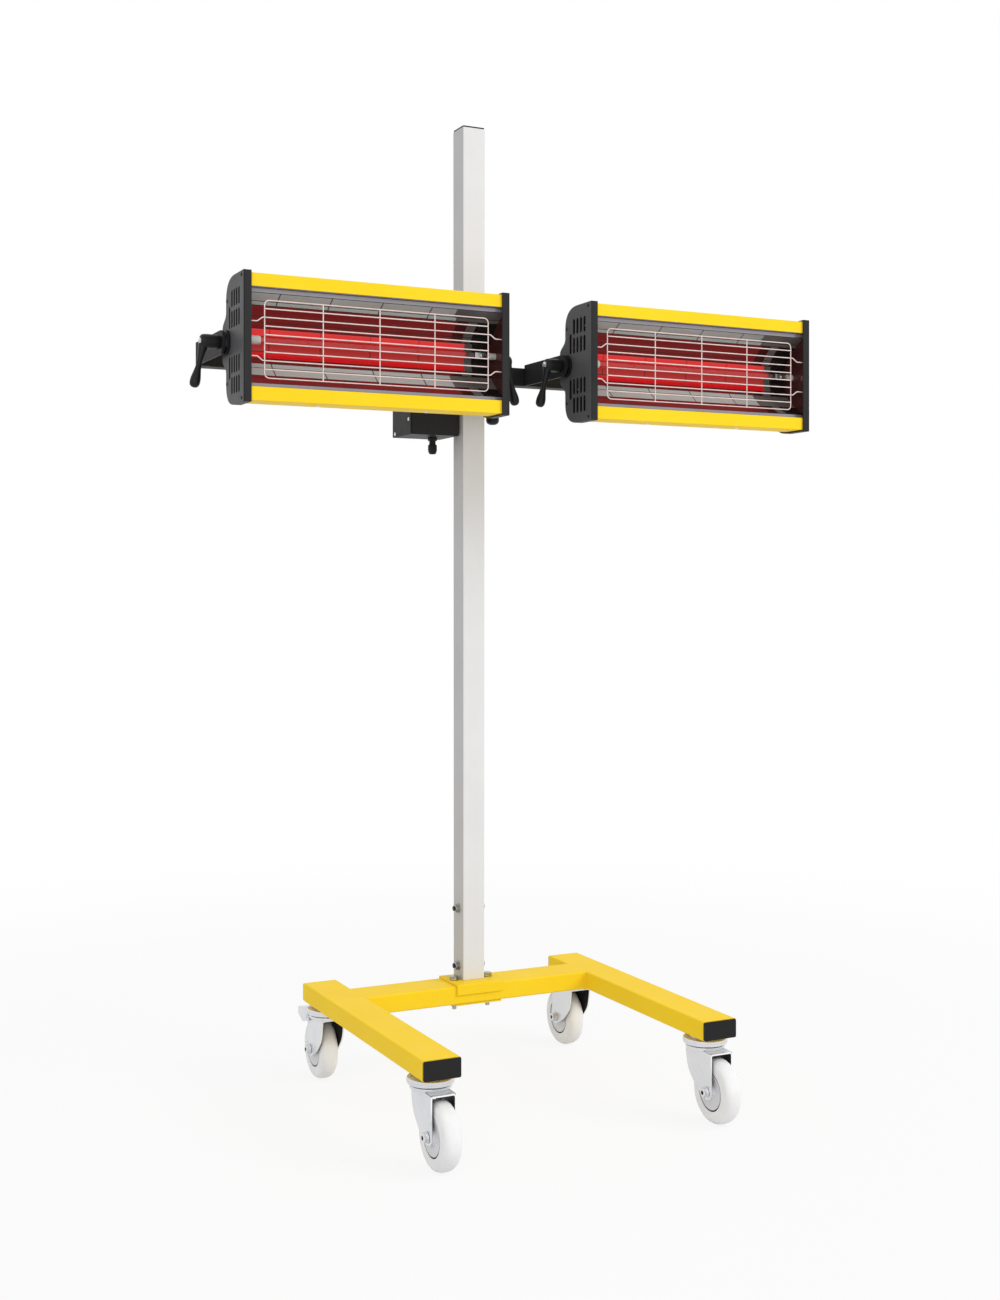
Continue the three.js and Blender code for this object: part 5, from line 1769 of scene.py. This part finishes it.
    def housing(self) -> None:
        """Folds the yellow housing from one sheet, front bars turned in, and adds its screws."""
        grow = self.cap_rim + SEAT_GAP
        curve = self.inner_curve(grow)
        front = self.face_y + grow
        low = self.middle_z - self.height / 2.0 + grow
        high = self.middle_z + self.height / 2.0 - grow
        path = [(front + self.bar_return, low + self.bottom_bar), (front, low + self.bottom_bar)]
        path += curve
        path += [(front, high - self.top_bar), (front + self.bar_return, high - self.top_bar)]
        part = self.folded(path, self.width / 2.0 - self.cap_sheet - SEAT_GAP)
        self.face_forward(part, min)
        bmesh.ops.solidify(part, geom=part.faces[:], thickness=self.sheet)
        shape = Shape().absorb(part, 0)
        axis = Vector((0.0, self.face_y + self.flat_top_depth, self.middle_z))
        # The inner faces get the near black: painted shade inside the housing.
        for face in shape.mesh.faces:
            inward = axis - face.calc_center_median()
            inward.x = 0.0
            if face.normal.dot(inward) > 0.0 and abs(face.normal.x) < self.end_share:
                face.material_index = 1
        shape.finish(f"housing_sheet_{self.word}", self.body, [YELLOW_PAINT, HOUSING_INSIDE_SHADE],
                     [f"{self.body}_housing"], self.sheet_edge, 3)
        screws = Shape()
        for along, depth in self.sheet_screws:
            spot = Vector((self.centre_x + along, self.face_y + depth, low))
            HARDWARE.pan_screw(screws, Axis.Z, spot, -1.0)
        screws.finish(f"housing_screws_{self.word}", self.body, [ZINC])

    def folded(self, path: Sequence[Pair], half: float) -> bmesh.types.BMesh:
        """Folds a thin sheet that runs along X.

        Args:
            path: Its section, as pairs of Y and Z.
            half: Half its length.

        Returns:
            The sheet, still without a thickness.
        """
        part = bmesh.new()
        points = [part.verts.new((self.centre_x - half, y, z)) for y, z in path]
        wires = [part.edges.new(pair) for pair in zip(points, points[1:])]
        raised = bmesh.ops.extrude_edge_only(part, edges=wires)["geom"]
        bmesh.ops.translate(part, verts=corners_of(raised), vec=(2.0 * half, 0.0, 0.0))
        return part

    def face_forward(self, part: bmesh.types.BMesh, pick: Callable[..., bmesh.types.BMFace]) -> None:
        """Turns a folded sheet's faces so that one of them looks forward.

        Args:
            part: The sheet.
            pick: min for the foremost face, max for the rearmost.
        """
        bmesh.ops.recalc_face_normals(part, faces=part.faces[:])
        probe = pick(part.faces, key=lambda face: face.calc_center_median().y)
        if probe.normal.y > 0.0:
            bmesh.ops.reverse_faces(part, faces=part.faces[:])

    def vents(self) -> list[list[Pair]]:
        """Lists the vent slots of an end cap.

        Returns:
            Outlines of the slots.
        """
        half = self.height / 2.0
        rows = []
        for up, margin in ((-1.0, self.vent_bottom), (1.0, self.vent_top)):
            for column in range(self.vent_columns):
                rows.append((up, column, margin, self.vent_height))
                rows.append((up, column, margin + self.vent_row_pitch, self.vent_height))
            inner = margin + self.vent_row_pitch + self.vent_height
            rows.append((up, self.vent_columns, inner - self.rear_vent_height, self.rear_vent_height))
        slots = []
        for up, column, start, height in rows:
            y = self.face_y + self.vent_first + column * self.vent_pitch
            z = self.middle_z + up * (half - start - height / 2.0)
            slots.append(slot_outline((y, z), self.vent_width, height))
        return slots

    def end_cap(self, end: str) -> None:
        """Builds one pressed end cap with its vents and its rim.

        Args:
            end: left or right end.
        """
        way = SIDES[end]
        outer = self.outer_face(end)
        shape = Shape()
        plate = in_order(outer, outer - way * self.cap_sheet)
        rim = in_order(outer - way * self.cap_sheet * 0.5, outer - way * self.cap_depth)
        curve = self.side_curve()
        shape.slab(Axis.X, curve, plate, holes=self.vents())
        shape.slab(Axis.X, curve, rim, holes=[self.inner_curve(self.cap_rim)])
        # The cap's outer face gets the lighter copy of the black paint: painted light.
        for face in shape.mesh.faces:
            if face.normal.x * way > self.face_share:
                face.material_index = 1
        shape.finish(f"end_cap_press_{self.word}_{end}", self.body, [SATIN_BLACK, CAP_FACE_LIGHT],
                     [f"{self.body}_end_cap_{end}"], self.cap_edge)

    def cap_screws(self, end: str) -> None:
        """Adds the small screws in an end cap.

        Args:
            end: left or right end.
        """
        shape = Shape()
        top = self.middle_z + self.height / 2.0
        for depth, drop in self.screw_places:
            spot = Vector((self.outer_face(end), self.face_y + depth, top - drop))
            HARDWARE.pan_screw(shape, Axis.X, spot, SIDES[end], *self.screw_size)
        shape.finish(f"cap_screws_{self.word}_{end}", self.body, [BLACK_PLASTIC])

    def spacer(self, end: str) -> None:
        """Builds the fluted spacer between end cap and arm.

        Args:
            end: left or right end.
        """
        way = SIDES[end]
        outer = self.outer_face(end)
        shape = Shape()
        reach = self.friction_disc - SEAT_GAP
        outline = []
        for i in range(self.teeth * 4):
            radius = self.spacer_radius - (self.tooth_depth if i % 4 in (0, 1) else 0.0)
            angle = math.tau * i / (self.teeth * 4)
            outline.append((self.centre.y + radius * math.cos(angle),
                            self.centre.z + radius * math.sin(angle)))
        faces = in_order(outer + way * SEAT_GAP, outer + way * reach * self.tooth_share)
        shape.slab(Axis.X, outline, faces)
        near, far = in_order(outer + way * reach * self.disc_share, outer + way * reach)
        ring = bar_section(self.spacer_radius * self.washer_share, near, far, self.washer_bore)
        shape.turned(Axis.X, ring, (0.0, self.centre.y, self.centre.z), closed=True, finish=1)
        shape.finish(f"tilt_spacer_{self.word}_{end}", self.body, [BLACK_PLASTIC, ZINC], (),
                     self.spacer_edge)

    def trough_path(self) -> list[Pair]:
        """Draws the trough's section, with the lips that close it against the two bars.

        Returns:
            Pairs of Y and Z from the upper lip to the lower.
        """
        front = self.face_y + self.reflector_front
        upper = [(front - self.lip_return, self.lip_half), (front, self.lip_half)]
        upper += [(front + self.reflector_depth * deep, self.reflector_half * share)
                  for deep, share in self.reflector_folds]
        whole = upper + [(y, -z) for y, z in reversed(upper)]
        return [(y, self.middle_z + z) for y, z in whole]

    def band(self, facet: int, along: float) -> PaintedBand:
        """Picks the painted light of a piece of a facet, whose far end lies beyond the emitter's filament.

        Args:
            facet: Place of the facet, from the upper lip.
            along: Place along X, from the lamp's middle.

        Returns:
            Its look.
        """
        lit = self.bands[facet]
        # Painted dark reflection lines across the strip.
        painted_line = min(abs(along - place) for place in self.joints) < self.painted_line_half
        look = PAINTED_LINE_LOOKS.get(lit, lit) if painted_line else lit
        for place, beyond in PAINTED_REFLECTION_ENDS.get(lit, ()):
            if along > place:
                look = beyond
        return look

    def dress_trough(self, part: bmesh.types.BMesh, path: Sequence[Pair]) -> None:
        """Cuts the facets where the emitter's painted reflection ends and gives each piece its painted
        light.

        Args:
            part: The trough's sheet.
            path: Its section.
        """
        cuts = sorted({end[0] for ends in PAINTED_REFLECTION_ENDS.values() for end in ends})
        cuts += [painted_line + way * self.painted_line_half for painted_line in self.joints for way in SIDES.values()]
        for place in cuts:
            bmesh.ops.bisect_plane(part, geom=part.verts[:] + part.edges[:] + part.faces[:], dist=TOUCHING,
                                   plane_co=(self.centre_x + place, 0.0, 0.0), plane_no=Axis.X.value)
        middles = [(Vector(first) + Vector(second)) / 2.0 for first, second in zip(path, path[1:])]
        for face in part.faces:
            if face.material_index == PaintedBand.FOLD.value:
                continue
            spot = face.calc_center_median()
            gaps = [(middle - spot.yz).length for middle in middles]
            face.material_index = self.band(gaps.index(min(gaps)), spot.x - self.centre_x).value

    def reflector(self) -> None:
        """Folds the bright trough behind the emitter and closes its two ends."""
        path = self.trough_path()
        half = self.width / 2.0 - self.cap_sheet - 2.0 * SEAT_GAP
        part = self.folded(path, half)
        folds = [edge for edge in part.edges if len(edge.link_faces) == 2]
        # The rounded crease of each fold gets a painted dark line of shade.
        for face in rounded(part, folds, self.fold_width, 2):
            face.material_index = PaintedBand.FOLD.value
        self.face_forward(part, max)
        self.dress_trough(part, path)
        bmesh.ops.solidify(part, geom=part.faces[:], thickness=self.reflector_sheet)
        shape = Shape().absorb(part)
        for way in (-1.0, 1.0):
            inner = self.centre_x + way * (half - self.reflector_sheet)
            faces = in_order(inner, self.centre_x + way * half)
            shape.slab(Axis.X, path, faces, finish=PaintedBand.END.value)
        # The end sheets' inner faces keep their painted red glow, their outer faces get the painted shade of
        # the unlit end.
        for face in shape.mesh.faces:
            across = face.calc_center_median().x - self.centre_x
            if face.material_index == PaintedBand.END.value and face.normal.x * across > 0.0:
                face.material_index = PaintedBand.UNLIT.value
        shape.finish(f"reflector_trough_{self.word}", self.body, [TROUGH_PAINTED_LIGHT[band] for band in PaintedBand],
                     [f"{self.body}_reflector"], self.reflector_edge)

    def emitter(self) -> None:
        """Builds the quartz tube with its pinched ends, holders and terminals."""
        spot = Vector((self.centre_x, self.face_y + self.emitter_depth, self.middle_z + self.emitter_rise))
        end = self.width / 2.0 - self.cap_sheet - 2.0 * SEAT_GAP
        radius = self.emitter_radius
        first = self.holder_length - end
        last = end - self.lead_length
        dome = radius * self.dome_share
        tube = [(0.0, first - self.sink), (radius, first - self.sink), (radius, last - dome)]
        tube += [(radius * math.cos(a), last - dome + dome * math.sin(a)) for a in self.dome_angles]
        tube += [(0.0, last)]
        shape = Shape().turned(Axis.X, tube, spot)
        cap = self.holder_radius
        holder = [(0.0, -end), (cap, -end)]
        holder += [(cap * wide, first - cap * back) for wide, back in self.holder_shares]
        shape.turned(Axis.X, holder, spot, finish=1)
        far = end - self.lead_length * self.socket_share
        mouth, wide = [cap * share for share in self.socket_shares]
        socket = [(0.0, far), (mouth, far), (wide, far + self.socket_lip), (wide, end), (0.0, end)]
        shape.turned(Axis.X, socket, spot, steps=40, finish=1)
        root = last + self.lead_length * self.pinch_share
        bars = [(last - self.sink, root, self.pinch_size, 3)]
        bars += [(root - self.sink, root + self.clip_length, size, 2) for size in self.clip_sizes]
        for start, stop, (front, back, half, edge), finish in bars:
            shape.block(spot + Vector((start, front, -half)), spot + Vector((stop, back, half)), edge,
                        finish=finish)
        share, depth = self.clip_screw
        seat = spot + Vector((root + self.clip_length * share, depth, 0.0))
        HARDWARE.pan_screw(shape, Axis.Y, seat, -1.0, *self.clip_screw_size, finish=2)
        lead = bar_section(self.lead_radius, root, far + self.sink)
        shape.turned(Axis.X, lead, spot, steps=16, finish=2)
        shape.finish(f"quartz_emitter_{self.word}", self.body, [QUARTZ, CERAMIC, TERMINAL, PINCH],
                     [f"{self.body}_emitter"])

    def guard(self) -> None:
        """Welds the wire guard: a rounded frame, uprights, bars and four jogged ends."""
        y = self.face_y + self.guard_depth + self.wire_radius
        middle = self.middle_z - self.guard_drop
        bar_y = y - self.wire_radius * self.wire_lap
        half = (self.guard_width / 2.0, self.guard_height / 2.0)
        corner = self.guard_corner
        ring = []
        for a, b, start in ((1, 1, 0.0), (-1, 1, 90.0), (-1, -1, 180.0), (1, -1, 270.0)):
            ring += arc((a * (half[0] - corner), b * (half[1] - corner)), corner, start, start + 90.0,
                        self.guard_corner_steps)
        shape = Shape()
        frame = [(self.centre_x + x, y, middle + z) for x, z in ring]
        shape.swept(frame, self.wire_radius, closed=True)
        for i in range(1, self.guard_uprights - 1):
            x = self.centre_x - half[0] + self.guard_width * i / (self.guard_uprights - 1)
            shape.swept([(x, y, middle - half[1]), (x, y, middle + half[1])], self.wire_radius)
        pitch = self.guard_height / (self.guard_bars - 1)
        reach = self.width / 2.0 - self.cap_sheet - SEAT_GAP
        start = half[0] - 2.0 * self.wire_radius
        for i in range(1, self.guard_bars - 1):
            z = half[1] - pitch * i
            line = [(-half[0], z), (half[0], z)]
            if i in (self.jogged_bar, self.guard_bars - 1 - self.jogged_bar):
                up = math.copysign(1.0, z)
                jog = [(start + (reach - start) * along, z - up * self.guard_jog * down)
                       for along, down in self.jog_shares]
                line = [(-x, high) for x, high in reversed(jog)] + jog
            shape.swept([(self.centre_x + x, bar_y, middle + high) for x, high in line], self.wire_radius)
        shape.finish(f"wire_guard_{self.word}", self.body, [WIRE], [f"{self.body}_guard"])

    def tilt_lever(self, end: str) -> None:
        """Builds one tilt lever on the arm's outer face.

        Args:
            end: left or right end.
        """
        way = SIDES[end]
        x = self.outer_face(end) + way * (self.friction_disc + self.lever_gap)
        shape = self.lever.shape(Vector((x, self.centre.y, self.centre.z)), way)
        shape.finish(f"tilt_lever_{self.word}_{end}", f"{self.body}_{end}_lever", [BLACK_PLASTIC, ZINC],
                     [f"{self.body}_lever_{end}"])


@dataclass
class Studio:
    """Camera, lights, floor and background."""

    camera_spot: tuple[float, float, float] = (-1.1681, -2.3385, 0.8203)
    camera_turn: float = -26.18
    focal_pixels: float = 1617.0
    image_height: float = 1300.0
    horizon_pixel: float = 591.3
    sensor: float = 36.0
    view_reach: float = 60.0
    floor_size: float = 16.0
    floor_white: Pair = (0.86, 1.0)
    floor_fade: Pair = (0.9, 2.6)
    floor_paper: float = 0.75
    floor_roughness: float = 0.9
    floor_specular: float = 0.1
    ambient: float = 0.78

    def build(self) -> None:
        """Sets up the whole studio."""
        self.camera()
        self.lamps()
        self.world()
        self.floor()
        bpy.context.scene.view_settings.view_transform = "Standard"

    def camera(self) -> None:
        """Places the camera as the photo's camera stood."""
        data = bpy.data.cameras.new("photo_camera")
        data.sensor_fit = "VERTICAL"
        data.sensor_height = self.sensor
        data.lens = self.focal_pixels / self.image_height * self.sensor
        data.shift_y = (self.horizon_pixel - self.image_height / 2.0) / self.image_height
        data.clip_end = self.view_reach
        camera = placed("photo_camera", data)
        camera.location = self.camera_spot
        camera.rotation_euler = (math.radians(90.0), 0.0, math.radians(self.camera_turn))
        bpy.context.scene.camera = camera

    def lamps(self) -> None:
        """Hangs two large soft lamps."""
        plan = (
            ("key", (4.2, -3.8, 3.9), (0.0, 0.0, 0.9), 3.2, 168.0, False),
            ("fill", (-2.6, -3.6, 1.9), (0.0, 0.0, 0.8), 2.4, 24.0, True),
        )
        for name, spot, target, size, power, mirrored in plan:
            data = bpy.data.lights.new(name, "AREA")
            data.size = size
            data.energy = power
            lamp = placed(name, data)
            lamp.location = spot
            lamp.visible_glossy = mirrored
            way = Vector(target) - Vector(spot)
            lamp.rotation_euler = way.to_track_quat("-Z", "Y").to_euler()

    def world(self) -> None:
        """Makes a white background that metal and glass show too, and a plain room light."""
        world = bpy.data.worlds.new("studio")
        bpy.context.scene.world = world
        world.use_nodes = True
        tree = world.node_tree
        background = tree.nodes["Background"]
        background.inputs["Color"].default_value = (1.0, 1.0, 1.0, 1.0)
        shown = chosen_rays(tree, ("Is Camera Ray", "Is Glossy Ray", "Is Transmission Ray"))
        strength = tree.nodes.new("ShaderNodeMix")
        strength.inputs[2].default_value = self.ambient
        strength.inputs[3].default_value = 1.0
        tree.links.new(shown, strength.inputs[0])
        tree.links.new(strength.outputs[0], background.inputs["Strength"])

    def floor(self) -> None:
        """Lays a pale floor that keeps the lamp's shadow."""
        grid = bmesh.new()
        bmesh.ops.create_grid(grid, x_segments=1, y_segments=1, size=self.floor_size / 2.0)
        data = bpy.data.meshes.new("studio_floor")
        grid.to_mesh(data)
        grid.free()
        floor = placed("studio_floor", data)
        paper = bpy.data.materials.new("white_studio_paper")
        paper.use_nodes = True
        tree = paper.node_tree
        shader = tree.nodes["Principled BSDF"]
        shader.inputs["Base Color"].default_value = (*[self.floor_paper] * 3, 1.0)
        shader.inputs["Roughness"].default_value = self.floor_roughness
        shader.inputs["Specular IOR Level"].default_value = self.floor_specular
        glow = tree.nodes.new("ShaderNodeEmission")
        blend = tree.nodes.new("ShaderNodeMixShader")
        share = tree.nodes.new("ShaderNodeMath")
        share.operation = "MULTIPLY"
        place = tree.nodes.new("ShaderNodeTexCoord")
        reach = tree.nodes.new("ShaderNodeVectorMath")
        reach.operation = "LENGTH"
        tree.links.new(place.outputs["Object"], reach.inputs[0])
        fade = ranged(tree, reach.outputs["Value"], self.floor_fade, self.floor_white, smooth=True)
        tree.links.new(chosen_rays(tree, ("Is Camera Ray", "Is Glossy Ray")), share.inputs[0])
        tree.links.new(fade, share.inputs[1])
        tree.links.new(share.outputs["Value"], blend.inputs["Fac"])
        tree.links.new(shader.outputs["BSDF"], blend.inputs[1])
        tree.links.new(glow.outputs["Emission"], blend.inputs[2])
        tree.links.new(blend.outputs["Shader"], tree.nodes["Material Output"].inputs["Surface"])
        data.materials.append(paper)


def main() -> None:
    """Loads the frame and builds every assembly."""
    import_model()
    Studio().build()
    BaseFrame().build()
    Post().build()
    for word, end in CASTERS.items():
        Caster(word, end).build()
    Carriage().build()
    Yoke().build()
    for word in SIDES:
        Cassette(word).build()
    LOG.info("scene built")


if __name__ == "__main__":
    logging.basicConfig(level=logging.INFO, format="%(message)s")
    main()
